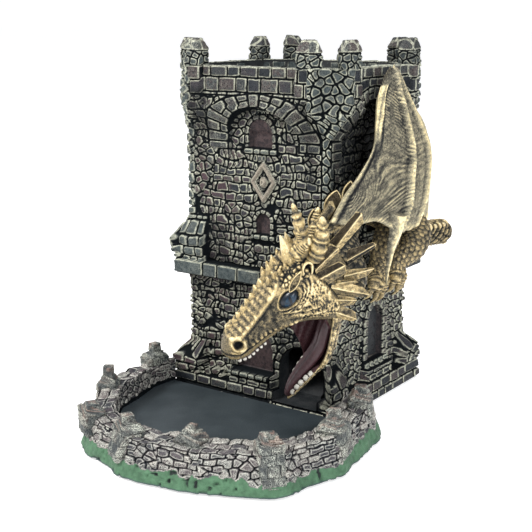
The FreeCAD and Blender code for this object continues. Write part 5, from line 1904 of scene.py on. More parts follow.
def brow_plates():
    """On each side a leaf over the eye and a looped ridge behind it."""
    parts = Parts(*METAL)
    for side in (1, -1):
        leaf(parts, on_head(23.6, side * 12.0, 15.6), on_head(13.4, side * 12.9, 22.4), 1.9,
             HEAD_SIDE * side * 0.95 + HEAD_UP * 0.35, thick=1.3, rim=0.42, tone=0.2,
             shine=0.5, power=0.8, shift=0.42)
        # (ahead, up) along the loop
        loop, _ = smooth_curve([(13.6, 19.6), (13.2, 21.4), (11.4, 23.2), (9.2, 23.4),
                                (8.2, 21.8), (9.4, 19.2), (11.0, 17.2)], 60)
        centre = on_head(loop[:, 0], side * (12.9 - 0.12 * (loop[:, 1] - 16)), loop[:, 1])
        angle, t = full_turn(12), np.linspace(0, 1, 60)[:, None]
        radius = 0.55 * np.sin(np.pi * np.clip(t, 0.05, 0.97)) ** 0.4 + 0.1
        points = sweep(centre, cross_axes(centre, HEAD_SIDE * side), radius, angle, wide=1.3)
        parts.tube(points, dict(cav=0.5), dict(cav=0.5), cav=0.75 + 0.3 * np.cos(angle))
    dragon_piece(parts, "head_brow_plates", "dragon_head")


# Frill folds behind the cheek. Each row: base and tip of the ridge, of the upper edge and of
# the lower edge, all as (ahead, side, up).
FOLDS = [
    ((8.5, 13.2, 18.3), (-6.0, 15.6, 23.2), (4.3, 12.0, 21.2), (-2.9, 13.6, 27.3),
     (8.9, 12.6, 16.3), (-5.3, 15.0, 20.9)),
    ((-5.7, 12.6, 22.7), (-22.7, 16.0, 32.0), (-3.5, 11.0, 26.0), (-20.7, 13.0, 33.1),
     (-6.4, 12.0, 20.0), (-20.9, 14.6, 25.8)),
    ((-6.0, 12.2, 12.9), (-21.1, 15.6, 14.1), (-9.3, 11.0, 17.1), (-20.1, 13.4, 15.4),
     (-5.5, 11.6, 10.2), (-20.1, 14.6, 11.9)),
    ((8.7, 13.4, 13.3), (-4.2, 16.0, 13.9), (8.3, 12.2, 16.7), (-2.3, 13.8, 17.2),
     (8.2, 12.6, 8.0), (-2.6, 14.8, 8.4)),
    ((-1.2, 12.9, 7.2), (-14.6, 16.6, 4.2), (-3.3, 12.2, 9.6), (-13.9, 15.0, 5.4),
     (0.4, 12.4, 5.0), (-6.6, 15.0, 0.6)),
    ((6.6, 13.9, 6.3), (-6.4, 17.4, -6.0), (3.6, 13.0, 8.2), (-5.8, 15.6, 1.2),
     (6.0, 13.0, -0.6), (-4.7, 15.8, -8.0)),
    ((4.0, 14.2, 6.9), (-4.6, 16.6, 4.0), (2.6, 13.4, 8.0), (-4.4, 15.6, 4.9),
     (4.6, 13.6, 4.2), (-5.4, 15.6, 1.2)),
    ((9.0, 13.9, 0.4), (-0.2, 16.6, -5.3), (6.4, 13.0, 1.2), (0.4, 15.0, -2.9),
     (10.4, 13.2, -3.2), (3.5, 15.0, -7.9)),
    ((11.1, 13.6, -6.5), (4.6, 16.2, -14.5), (8.1, 12.6, -4.4), (2.6, 14.6, -10.2),
     (12.0, 13.0, -10.6), (7.1, 15.0, -15.0)),
]
# brightness of the upper and the lower face of each fold, darkness of the upper face, and
# how far the edges are drawn to the ridge at the tip. A dark upper face is partly dark-brown
# paint, partly painted shade.
FOLD_TONES = [(0.36, 0.80, 0.62, 0.15), (0.16, 0.86, 0.85, 0.15), (0.30, 0.40, 0.55, 0.25),
              (0.34, 0.66, 0.55, 0.2), (0.78, 0.74, 0.05, 0.5), (0.80, 0.62, 0.0, 0.4),
              (0.74, 0.80, 0.0, 0.4), (0.74, 0.70, 0.0, 0.4), (0.62, 0.80, 0.1, 0.3)]
FAR_FOLD_LENGTH = 0.62              # folds beside the keep are shorter


def fold(parts, corners, side, seed, tones):
    """One pointed fold, swept from base to tip."""
    ridge_0, ridge_1, upper_0, upper_1, lower_0, lower_1 = corners * np.array([1, side, 1])
    upper_cav, lower_cav, upper_tone, pinch = tones
    v = np.linspace(0, 1, 64)[:, None]
    out = np.array([0, side, 0])

    def line(start, end, bow):
        return start + (end - start) * v + np.array([0, 0, 1.0]) * bow * (4 * v * (1 - v))
    ridge = line(ridge_0, ridge_1, 0.35)
    ridge = ridge + out * (0.5 * np.sin(np.pi * v) + 0.2 * ripple(v * 7.0, 0.0, 1.0, seed))
    upper = line(upper_0, upper_1, -0.35) + (ridge_1 - upper_1) * v ** 3 * pinch
    lower = line(lower_0, lower_1, 0.35) + (ridge_1 - lower_1) * v ** 3 * pinch
    back = (upper + lower) / 2 - out * (1.5 * (1 - v) + 0.7)
    upper_roll, upper_rim = upper + out * 0.25, lerp(upper, ridge, 0.07)
    upper_foot = lerp(upper, ridge, 0.86) - out * 0.35
    lower_rim, lower_roll = lerp(ridge, lower, 0.92), lower + out * 0.1
    # each strip of the section: start, end, brightness there, darkness there, steps, sag
    strips = [
        (upper_roll, upper_rim, 0.92, 0.55, 0.0, upper_tone * 0.6, 3, 0.0),
        (upper_rim, upper_foot, upper_cav + 0.08, upper_cav - 0.14, upper_tone, upper_tone,
         7, 0.45),
        (upper_foot, ridge, upper_cav, 1.0, upper_tone, 0.0, 3, 0.0),
        (ridge, lerp(ridge, lower, 0.14), 1.08, 0.95, 0.0, 0.0, 3, -0.10),
        (lerp(ridge, lower, 0.14), lower_rim, lower_cav, lower_cav - 0.14, 0.0, 0.0, 8, 0.40),
        (lower_rim, lower_roll, lower_cav - 0.05, 0.88, 0.0, 0.0, 2, 0.0),
        (lower_roll, back, 0.8, 0.35, 0.0, 0.2, 4, 0.0),
        (back, upper_roll, 0.35, 0.8, 0.2, 0.1, 4, 0.0)]
    section, cav, tone = [], [], []
    for start, end, cav_0, cav_1, tone_0, tone_1, steps, sag in strips:
        for t in (i / steps for i in range(steps)):
            section.append(lerp(start, end, t) - out * sag * (4 * t * (1 - t)) * (1 - 0.5 * v))
            cav.append(lerp(cav_0, cav_1, t))
            tone.append(lerp(tone_0, tone_1, t))
    section = np.stack(section, 1)
    cav, tone = np.array(cav)[None, :], np.array(tone)[None, :]
    lumps = noise3(section, 1.1, 30 + seed) - 0.5
    grain = noise3(section * np.array([0.4, 1.0, 1.0]), 0.75, 60 + seed) - 0.5
    section = section + out * (lumps * 0.30 + grain * 0.18)[..., None]
    cav = cav + (0.40 * lumps + 0.30 * grain) * (cav < 0.98)
    # the end of the fold is rubbed bright
    cav = np.maximum(cav, 0.88 * smooth(v, 0.94, 0.985) * (cav > 0.1))
    points = on_head(*np.moveaxis(section, -1, 0))
    parts.grid(points, closed=True, flip=side < 0, cav=np.clip(cav, 0, 1.05),
               tone=np.clip(tone * (1 - smooth(v, 0.93, 0.98)), 0, 1))
    parts.cap(points[-1], flip=side > 0, cav=0.8)
    parts.cap(points[0], flip=side < 0, cav=0.3, tone=0.3)


def frill():
    parts = Parts(*METAL)
    for i, corners in enumerate(FOLDS):
        fold(parts, np.array(corners, float), 1, i, FOLD_TONES[i])
    for i, corners in enumerate(FOLDS):
        corners = np.array(corners, float)
        corners[1::2] = corners[::2] + (corners[1::2] - corners[::2]) * FAR_FOLD_LENGTH
        fold(parts, corners, -1, 20 + i, FOLD_TONES[i])
    dragon_piece(parts, "head_frill", "dragon_cheek_spikes")


def eye_paint():
    paint = Paint("eye_paint")
    iris, slit = paint.attribute("iris"), paint.attribute("slit")
    color = paint.mottle(paint.noise(scale=1500, detail=3, rough=0.6),
                         (0.003, 0.013, 0.026), (0.009, 0.036, 0.068), start=0.35, end=0.65)
    color = paint.mix(paint.step(iris, start=0.0, end=1.0), color, (0.003, 0.008, 0.015))
    color = paint.mix(slit, color, (0.003, 0.004, 0.006))
    return paint.finish(color, rough=0.34, specular=0.28, coat=0.22, coat_rough=0.14)


def eyes():
    material = eye_paint()
    radius = 4.1
    polar = np.linspace(0.001, np.pi * 0.62, 60)[:, None]
    around = full_turn(72)
    x = radius * np.sin(polar) * np.cos(around) * 1.32
    y = radius * np.cos(polar) * 0.92
    z = radius * np.sin(polar) * np.sin(around) * 0.80
    ahead = x * math.cos(EYE_TILT) - z * math.sin(EYE_TILT)
    up = x * math.sin(EYE_TILT) + z * math.cos(EYE_TILT)
    slit = 1 - smooth(np.abs(x * 0.75 + z * 0.45), 0.35, 0.75)
    slit = slit * (1 - smooth(np.abs(z), 1.6, 2.4))
    for side, name in ((1, "near"), (-1, "far")):
        parts = Parts("iris", "slit")
        parts.grid(on_head(EYE_AHEAD + ahead, side * 10.9 + side * y, 12.3 + up), closed=True,
                   flip=side < 0, iris=smooth(np.sin(polar), 0.50, 0.78), slit=slit)
        dragon_piece(parts, "head_eye_" + name, "dragon_eyes", material, "eye_blue")


# ---- lower jaw: (ahead, up, half width, depth) from the hinge to the tip
JAW = [(12.6, -9.0, 11.2, 7.0), (16.5, -14.5, 11.4, 7.4), (20.7, -20.5, 10.8, 6.8),
       (25.2, -26.3, 9.9, 6.0), (30.3, -30.7, 9.0, 5.0), (36.4, -33.4, 7.8, 3.9),
       (43.0, -36.4, 6.2, 3.2), (50.0, -39.8, 4.2, 2.6), (54.0, -42.0, 1.6, 1.4)]
jaw, jaw_run = smooth_curve(JAW, 120)
jaw_tangent = unit(np.gradient(jaw[:, :2], axis=0))
jaw_down = np.stack([jaw_tangent[:, 1], -jaw_tangent[:, 0]], -1)
jaw_down = np.where(jaw_down[:, 1:] > 0, -jaw_down, jaw_down)


def lower_jaw():
    """A trough, gold outside and mouth paint inside, with low gums along its rims."""
    width, depth = jaw[:, 2][:, None], jaw[:, 3][:, None]
    outer, inner = np.linspace(0, np.pi, 44)[None, :], np.linspace(np.pi, 0, 34)[None, :]
    across = np.concatenate([width * np.cos(outer),
                             np.maximum(width - 1.35, 0.2) * np.cos(inner)], 1)
    drop = np.concatenate([
        depth * np.sin(outer) ** 0.75,
        np.maximum(depth - 1.6, 0.3) * np.sin(inner) ** 0.7 * 0.85], 1)
    outside = np.concatenate([np.ones(44), np.zeros(34)])[None, :]
    # the rim rolls outwards
    rim = bell(drop, 1.2) * outside
    across = across + np.sign(across) * 0.5 * rim
    space = np.stack([np.broadcast_to(jaw_run[:, None], across.shape), across, drop], -1)
    stipple, lumps = noise3(space, 0.7, 41), noise3(space, 2.3, 42)
    # creases running along the jaw
    crease = bell(np.mod(drop + 0.5 * lumps, 2.4) - 1.2, 0.35) * outside
    crease = crease * smooth(drop, 0.6, 1.2)
    lower = drop + outside * (0.35 * (stipple - 0.5) + 0.5 * (lumps - 0.5)) - 0.35 * crease
    gold = 0.42 + 0.55 * smooth(stipple, 0.32, 0.66) + 0.35 * rim - 0.5 * crease
    cav = np.where(outside > 0, gold, 0.62 - 0.05 * drop)
    points = on_head(jaw[:, 0][:, None] + jaw_down[:, 0][:, None] * lower, across,
                     jaw[:, 1][:, None] + jaw_down[:, 1][:, None] * lower)
    parts = Parts(*METAL)
    parts.tube(points, dict(cav=0.4, maw=1.0), dict(cav=0.5, maw=1.0),
               cav=np.clip(cav, 0, 1.05), maw=np.where(outside > 0, 0.0, smooth(drop, 0.0, 0.5)))
    # gums beside the front teeth: a low lumpy roll
    span = jaw[62:116]
    i = np.arange(len(span))
    radius = (0.95 + 0.22 * np.sin(i * 0.9)) * smooth(i, 0, 6)
    radius = radius * (1 - 0.6 * smooth(i, 40, 53)) + 0.05
    for side in (1, -1):
        centre = on_head(span[:, 0] + 0.3, side * (span[:, 2] - 0.9), span[:, 1] + 0.35)
        parts.grid(sweep(centre, cross_axes(centre, HEAD_UP), radius[:, None],
                         full_turn(12)), closed=True, cav=0.55, maw=1.0)
    dragon_piece(parts, "head_lower_jaw", "dragon_lower_jaw")


def mouth_curtain():
    """Cheek membranes and throat: a curtain from the upper jaw to the lower one."""
    v = np.linspace(0, 1, 70)[:, None]
    # (ahead, side) along the curtain
    path, _ = smooth_curve([(17.0, 9.6), (12.5, 8.0), (10.5, 3.0), (11.5, -4.0),
                            (17.0, -8.4), (25.0, -8.9), (31.5, -8.6), (35.5, -8.0)], 60)
    path_ahead, path_side = path.T[:, None, :]
    top = np.interp(path_ahead, [10, 18, 27, 36], [-6.0, -7.5, -4.0, -2.0])
    bottom = np.interp(path_ahead, [10, 14.5, 19, 24, 29.5, 36],
                       [-12.0, -17.0, -23.0, -29.0, -33.0, -34.6])
    pinch = np.where(path_ahead > 28, (path_ahead - 28) * 0.33, 0) * np.sin(np.pi * v)
    ahead = path_ahead - pinch + 1.6 * v * np.where(path_side > 0, 1, 0.4)
    up = lerp(top, bottom, v)
    pleat = 0.35 * np.sin(up * 1.1 + path_ahead * 0.8) * np.sin(np.pi * v)
    side = path_side + pleat * 0.6
    front = on_head(ahead, side, up)
    back = on_head(ahead, side + np.where(path_side < -4, -1.2, 0.0), up)
    back = back - HEAD_AHEAD * HEAD_SCALE * (path_side > -6)[..., None]
    parts = Parts(*METAL)
    parts.grid(front, flip=True, cav=np.clip(0.62 + 0.3 * pleat - 0.25 * (v - 0.2) ** 2, 0, 1),
               maw=1.0)
    parts.grid(back, cav=0.5)
    parts.grid(np.stack([front[:, -1], back[:, -1]], 1), flip=True, cav=0.6, maw=1.0)
    dragon_piece(parts, "head_mouth_curtain", "dragon_lower_jaw", slot="mouth_maroon")


def tongue_paint():
    paint = Paint("tongue_paint")
    cav = paint.attribute("cav")
    mid = paint.noise(scale=900, detail=4, rough=0.6)
    color = paint.mottle(mid, (0.044, 0.017, 0.020), (0.072, 0.030, 0.034),
                         start=0.3, end=0.7)
    color = paint.mix(paint.step(cav, start=0.15, end=0.55, before=0.8, after=0.0), color,
                      (0.034, 0.012, 0.014))
    return paint.finish(color, rough=0.42, specular=0.5, coat=0.15, coat_rough=0.3,
                        normal=paint.bump(mid, strength=0.5, distance=0.0003))


def tongue():
    # ahead, up, half width, half thickness
    line, run = smooth_curve([
        (13.0, -13.5, 4.6, 2.4), (19.0, -19.0, 5.6, 3.0), (26.0, -26.2, 5.6, 3.1),
        (33.5, -30.4, 5.2, 2.9), (41.0, -33.4, 4.4, 2.5), (48.0, -36.8, 3.3, 2.0),
        (52.6, -40.2, 1.9, 1.4), (53.8, -41.6, 0.5, 0.5)], 90)
    tangent = unit(np.gradient(line[:, :2], axis=0))
    rising = np.stack([-tangent[:, 1], tangent[:, 0]], -1)
    rising = np.where(rising[:, 1:] < 0, -rising, rising)
    ahead, up, width, thick = line.T[..., None]
    angle = full_turn(40)
    x, y = width * np.cos(angle), thick * np.sin(angle)
    # a furrow runs down the middle of its upper side
    y = np.where(y > 0, y * (1 - 0.30 * bell(x, 0.28 * width + 0.1)), y)
    grain = ripple(run[:, None], x, 0.9, 4)
    y = y + 0.16 * grain
    points = on_head(ahead + rising[:, :1] * y, x, up + rising[:, 1:] * y)
    cav = 0.60 + 0.175 * (y / thick) + 0.3 * grain
    cav = cav - 0.35 * bell(x, 0.22 * width + 0.1) * (y > 0)
    parts = Parts("cav")
    parts.grid(points, closed=True, flip=True, cav=np.clip(cav, 0, 1))
    parts.cap(points[-1], flip=True, cav=0.6)
    parts.cap(points[0], cav=0.3)
    dragon_piece(parts, "mouth_tongue", "dragon_tongue", tongue_paint(), "mouth_maroon")


def tooth_paint():
    paint = Paint("tooth_paint")
    cav = paint.attribute("cav")
    mid = paint.noise(scale=1500, detail=4, rough=0.6)
    color = paint.mottle(mid, (0.46, 0.43, 0.36), (0.70, 0.68, 0.61), start=0.35, end=0.65)
    # stained towards the gum
    stain = paint.fall(cav + (mid - 0.5) * 0.5, start=0.20, end=0.62)
    color = paint.mix(stain, color, (0.070, 0.055, 0.045))
    return paint.finish(color, rough=0.36, specular=0.5, coat=0.25, coat_rough=0.2,
                        normal=paint.bump(mid, strength=0.3, distance=0.0002))


def tooth(parts, base, point, half_x, half_y, seed):
    """A blunt four-sided tooth, wider at the gum."""
    tangent = unit(point - base)
    axis_x = unit(HEAD_SIDE - np.dot(HEAD_SIDE, tangent) * tangent)
    axis_y = np.cross(tangent, axis_x)
    t, angle = np.linspace(0, 1, 22)[:, None], full_turn(24)
    radius = (1 - 0.35 * t) * (1 - np.clip((t - 0.72) / 0.30, 0, 1) ** 2) ** 0.5
    radius = radius * (1 + 0.05 * np.sin(5 * angle + seed))
    x, y = (np.sign(wave) * np.abs(wave) ** 0.7 for wave in (np.cos(angle), np.sin(angle)))
    points = (base + tangent * (t * np.linalg.norm(point - base))[..., None]
              + (radius * x * half_x)[..., None] * axis_x
              + (radius * y * half_y)[..., None] * axis_y)
    parts.grid(points, closed=True, cav=np.clip(0.12 + 1.3 * t, 0, 1))
    parts.cap(points[-1], cav=1.0)


def teeth():
    material = tooth_paint()
    parts = Parts("cav")
    for i in range(7):
        ahead = 61.0 - 2.4 * i
        _, bottom, width, _ = skull_at(ahead)
        for side in (1, -1):
            tooth(parts, on_head(ahead, side * width * 0.82, bottom + 0.9),
                  on_head(ahead + 0.2, side * width * 0.86, bottom - (0.95 - 0.06 * i)),
                  0.6, 1.05 - 0.04 * i, i)
    dragon_piece(parts, "mouth_upper_teeth", "dragon_upper_teeth", material, "tooth_ivory")
    parts = Parts("cav")
    for i, tall in enumerate((2.0, 2.5, 2.7, 2.5, 2.0)):
        station = int(76 + 7.6 * i)
        ahead, up, width = jaw[station, :3]
        for side, scale in ((1, 1.0), (-1, 0.7)):
            rise = jaw_down[station] * tall * scale
            tooth(parts, on_head(ahead, side * (width - 0.7), up - 0.2),
                  on_head(ahead - rise[0], side * (width - 0.2), up - rise[1]), 0.95, 1.75, i)
    dragon_piece(parts, "mouth_lower_teeth", "dragon_lower_teeth", material, "tooth_ivory")


# ---- body, neck, tail and legs. Centrelines are (x, y, z, radius).
NECK = [(50.0, -22, 112.5, 6.5), (51.0, -31, 110.5, 7.2), (53.5, -41, 106.5, 7.6),
        (57.5, -53, 99.5, 8.2), (63.5, -62, 92.0, 9.2), (68.5, -68.5, 85.0, 10.8),
        (69.5, -71.5, 81.0, 10.6)]
BODY = [(49.5, -34, 113, 4.0), (50.5, -26, 112, 7.6), (51, -18, 110, 8.7),
        (51.0, -8, 106, 9.0), (51, 8, 100.5, 9.0), (51.0, 20, 95.5, 8.6),
        (51.5, 30, 91.0, 7.6), (52.0, 37, 88.0, 6.4), (52, 42, 86.5, 4.5)]
TAIL = [(52.5, 22, 87.5, 5.0), (55.0, 33, 86.0, 6.2), (58.4, 43, 85.0, 6.2),
        (59.0, 51.5, 84.4, 6.0), (52, 56.4, 82.8, 6.0), (38, 55.3, 79, 6.4),
        (20, 52, 72, 6.4), (0, 49.3, 63, 5.6), (-18, 47.3, 54, 4.4), (-31, 46, 47, 2.9),
        (-37, 45, 43.5, 1.5), (-39.5, 44.6, 42, 0.4)]
FORELEG = [(60.0, -10, 101, 5.2), (61.0, -13, 93, 6.2), (59.5, -14.5, 86, 5.6),
           (57.0, -13, 79, 4.8), (54.8, -11.5, 74, 4.9), (53.6, -11, 70, 4.6),
           (53.2, -11, 67.6, 3.0)]
HIND_LEG = [(60.5, 16, 97, 6.0), (63.5, 14, 90, 7.2), (64.0, 9, 84, 6.8),
            (62.0, 3.5, 80, 5.4), (59.5, 0.0, 76.5, 4.6), (58.0, 0.5, 72.5, 4.3),
            (57.4, 1.0, 69.5, 2.6)]


def limb(parts, line, axes, radius, angle, cav):
    parts.tube(sweep(line[:, :3], axes, radius, angle), dict(cav=0.4), dict(cav=0.4),
               flip=True, cav=np.clip(cav, 0, 1.05))


def scaled_tube(parts, line, steps, sides, guide, scale_width, scale_height, relief, seed,
                shade=0.0):
    """A tube covered in overlapping scales."""
    line, place = smooth_curve(line, steps)
    radius, mean = line[:, 3][:, None], float(np.mean(line[:, 3]))
    angle = full_turn(sides)
    run, rise = np.broadcast_arrays(angle * mean, place[:, None])
    wobble = 0.5 * ripple(run, rise, 4.0, seed + 3)
    height, number = scales(run + wobble, rise + wobble, scale_width, scale_height,
                            2 * np.pi * mean, seed)
    full = radius * (1 + 0.05 * ripple(run, rise, 7.0, seed + 9))
    full = full + relief * (height - 0.35) * np.clip(radius / 4.0, 0.15, 1)
    limb(parts, line, cross_axes(line[:, :3], guide), full, angle,
         -0.06 + 0.92 * height + 0.15 * (number - 0.5) - shade)


def scute_tube(parts, line, steps, sides, guide, pitch, seed):
    """A tube of slanting scute rows with a row of knobs down the guide side."""
    line, place = smooth_curve(line, steps)
    radius = line[:, 3][:, None]
    angle = full_turn(sides) - np.pi + 0 * radius
    run, rise = angle * radius, place[:, None] + 0 * angle
    off = np.abs(run)
    phase = (rise + 0.85 * np.minimum(off, 9.0) + 0.5 * ripple(run + 40, rise, 3.0, seed)) / pitch
    row = np.floor(phase)
    width = 2.7
    column = run / width + 0.5 * np.mod(row, 2)
    split = smooth(width / 2 - np.abs(np.mod(column, 1.0) - 0.5) * width, 0.05, 0.45)
    number = hash01(row, np.floor(column), seed)
    spine = bell(off, 1.5)
    knob = (np.mod(rise / (pitch * 1.05) + 0.3, 1.0) - 0.5) / 0.42
    knob = spine * np.clip(1 - knob ** 2, 0, 1) ** 0.6
    height = sawtooth(phase, 0.70, 0.8, 0.7) * (0.40 + 0.60 * split) * (0.75 + 0.35 * number)
    height = np.clip(height * (1 - spine * 0.7) + 1.15 * knob, 0, 1.2)
    limb(parts, line, cross_axes(line[:, :3], guide),
         radius + 1.7 * (height - 0.4) * np.clip(radius / 4.0, 0.12, 1), angle,
         -0.16 + 1.12 * height)


def paw(parts, toes, ankle, spread, foot, drop, claw_x, radius, pitch, tip, bend, claw_radius,
        seed):
    """Ringed toes, each with a claw. toes holds (y, x, z) offsets from the foot."""
    for i, (toe_y, toe_x, toe_z) in enumerate(toes):
        x, y, z = foot[0] + toe_x, foot[1] + toe_y, foot[2] + toe_z * drop
        spike(parts, (ankle[0], ankle[1] + toe_y * spread, ankle[2]), (x, y, z), radius,
              steps=54, sides=20, ring_pitch=pitch, ring_depth=0.7, taper=0.35, tip=tip,
              seed=seed + i, ring_end=0.95, bend=bend)
        spike(parts, (x + 0.3, y, z + 0.8),
              (claw_x + toe_x * 0.5, foot[1] + toe_y * 1.15, foot[2] + toe_z * 0.95),
              claw_radius, steps=40, sides=16, seed=seed + 10 + i, shine=0.6, bend=(1.2, 0, 0))


def body_and_limbs():
    parts = Parts(*METAL)
    # the neck's scales are painted darker (shade 0.22): painted shade behind the frill
    scaled_tube(parts, NECK, 150, 130, (0.2, -0.4, 1.0), 3.0, 2.5, 1.0, 11, shade=0.22)
    dragon_piece(parts, "neck_scales", "dragon_neck")
    parts = Parts(*METAL)
    scute_tube(parts, BODY, 300, 190, (1.0, -0.15, 0.25), 3.9, 23)
    dragon_piece(parts, "body_scales", "dragon_body")
    parts = Parts(*METAL)
    scute_tube(parts, TAIL, 420, 170, (0.35, -0.75, 0.55), 3.4, 31)
    dragon_piece(parts, "tail_scales", "dragon_tail")
    parts = Parts(*METAL)
    scaled_tube(parts, FORELEG, 110, 80, (1, 0, 0), 2.6, 2.1, 0.9, 43)
    paw(parts, [(-9.0, 1.5, -9.5), (-4.4, 3.0, -12.5), (0.8, 3.4, -13.0), (5.4, 1.6, -10.5)],
        ankle=(54.0, -11, 71.0), spread=0.42, foot=(53.5, -11, 69.5), drop=0.55, claw_x=52.0,
        radius=2.9, pitch=1.7, tip=1.2, bend=(2.2, 0, 1.2), claw_radius=1.7, seed=80)
    # hind leg folded under the wing
    scaled_tube(parts, HIND_LEG, 120, 84, (1, 0, 0), 2.8, 2.2, 1.0, 47)
    paw(parts, [(-5.5, 2.0, -9.0), (-1.0, 3.2, -11.5), (4.0, 2.6, -10.5)],
        ankle=(58.0, 1.0, 72.0), spread=0.4, foot=(57.5, 1.0, 70.0), drop=0.5, claw_x=56.0,
        radius=2.7, pitch=1.6, tip=1.1, bend=(2.0, 0, 1.0), claw_radius=1.6, seed=100)
    dragon_piece(parts, "leg_scales_and_claws", "dragon_foreleg")


# ---- wing: rows of (x, y, z) from the apex down to the hem, each from the front edge to
# the rear one at the shares given in WING_SHARES
WING_ROWS = [
    [(56.5, -6.0, 174.3), (57.0, -5.2, 175.0), (58.0, -3.0, 175.6), (58.0, -1.2, 175.2),
     (57.4, 0.6, 174.8), (56.0, 3.4, 173.8)],
    [(58.5, -17.0, 168.5), (59.5, -14.0, 170.0), (61.5, -7.6, 169.8), (60.5, -3.6, 168.8),
     (60.8, -0.2, 168.2), (57.4, 3.8, 167.4)],
    [(60.2, -25.4, 161.5), (62.0, -22.4, 162.0), (64.5, -11.0, 163.0), (62.8, -5.0, 161.8),
     (63.6, 0.2, 161.2), (58.4, 7.4, 160.6)],
    [(60.8, -27.4, 150.5), (63.6, -24.4, 150.5), (68.0, -9.2, 149.4), (65.2, -0.6, 148.4),
     (66.6, 7.6, 147.6), (60.0, 22.5, 147.8)],
    [(60.8, -29.4, 138.2), (64.2, -26.2, 138.0), (70.8, -8.2, 135.8), (67.2, 2.6, 134.6),
     (69.2, 13.2, 134.0), (60.2, 31.0, 135.6)],
    [(61.2, -42.5, 127.4), (65.6, -36.5, 125.2), (73.4, -13.4, 121.2), (68.4, 0.2, 120.0),
     (70.0, 12.2, 119.4), (60.4, 31.6, 120.6)],
    [(62.0, -57.0, 119.6), (67.4, -47.5, 115.0), (74.6, -18.0, 109.6), (68.8, -2.2, 108.8),
     (69.4, 9.8, 107.2), (60.6, 32.4, 107.6)],
    [(63.0, -71.5, 109.0), (67.6, -58.0, 105.8), (73.0, -24.2, 98.6), (67.6, -7.0, 94.4),
     (66.8, 6.4, 95.4), (60.4, 30.4, 95.0)],
]
WING_SHARES = [0.0, 0.10, 0.46, 0.62, 0.76, 1.0]
# ribs and valleys: share across, width, height, brightness
WING_RIBS = [
    (0.46, 1.9, 2.3, 0.42), (0.76, 1.3, 1.5, 0.38), (0.885, 1.1, 0.9, 0.24),
    (0.60, 1.4, 0.5, 0.10), (0.520, 1.5, -0.7, -0.20), (0.405, 1.5, -0.6, -0.16),
    (0.655, 2.8, -0.7, -0.10), (0.725, 1.0, -0.5, -0.16), (0.83, 1.8, -0.6, -0.12),
    (0.945, 1.0, -0.4, -0.14),
]


def spline_rows(rows, count):
    """Smooth interpolation along the first axis of a block of points."""
    rows = np.asarray(rows, float)
    padded = np.concatenate([2 * rows[:1] - rows[1:2], rows, 2 * rows[-1:] - rows[-2:-1]])
    x = np.linspace(0, len(rows) - 1, count)
    k = np.clip(np.floor(x).astype(int), 0, len(rows) - 2)
    return spline_point([padded[k + i] for i in range(4)], (x - k)[:, None, None])


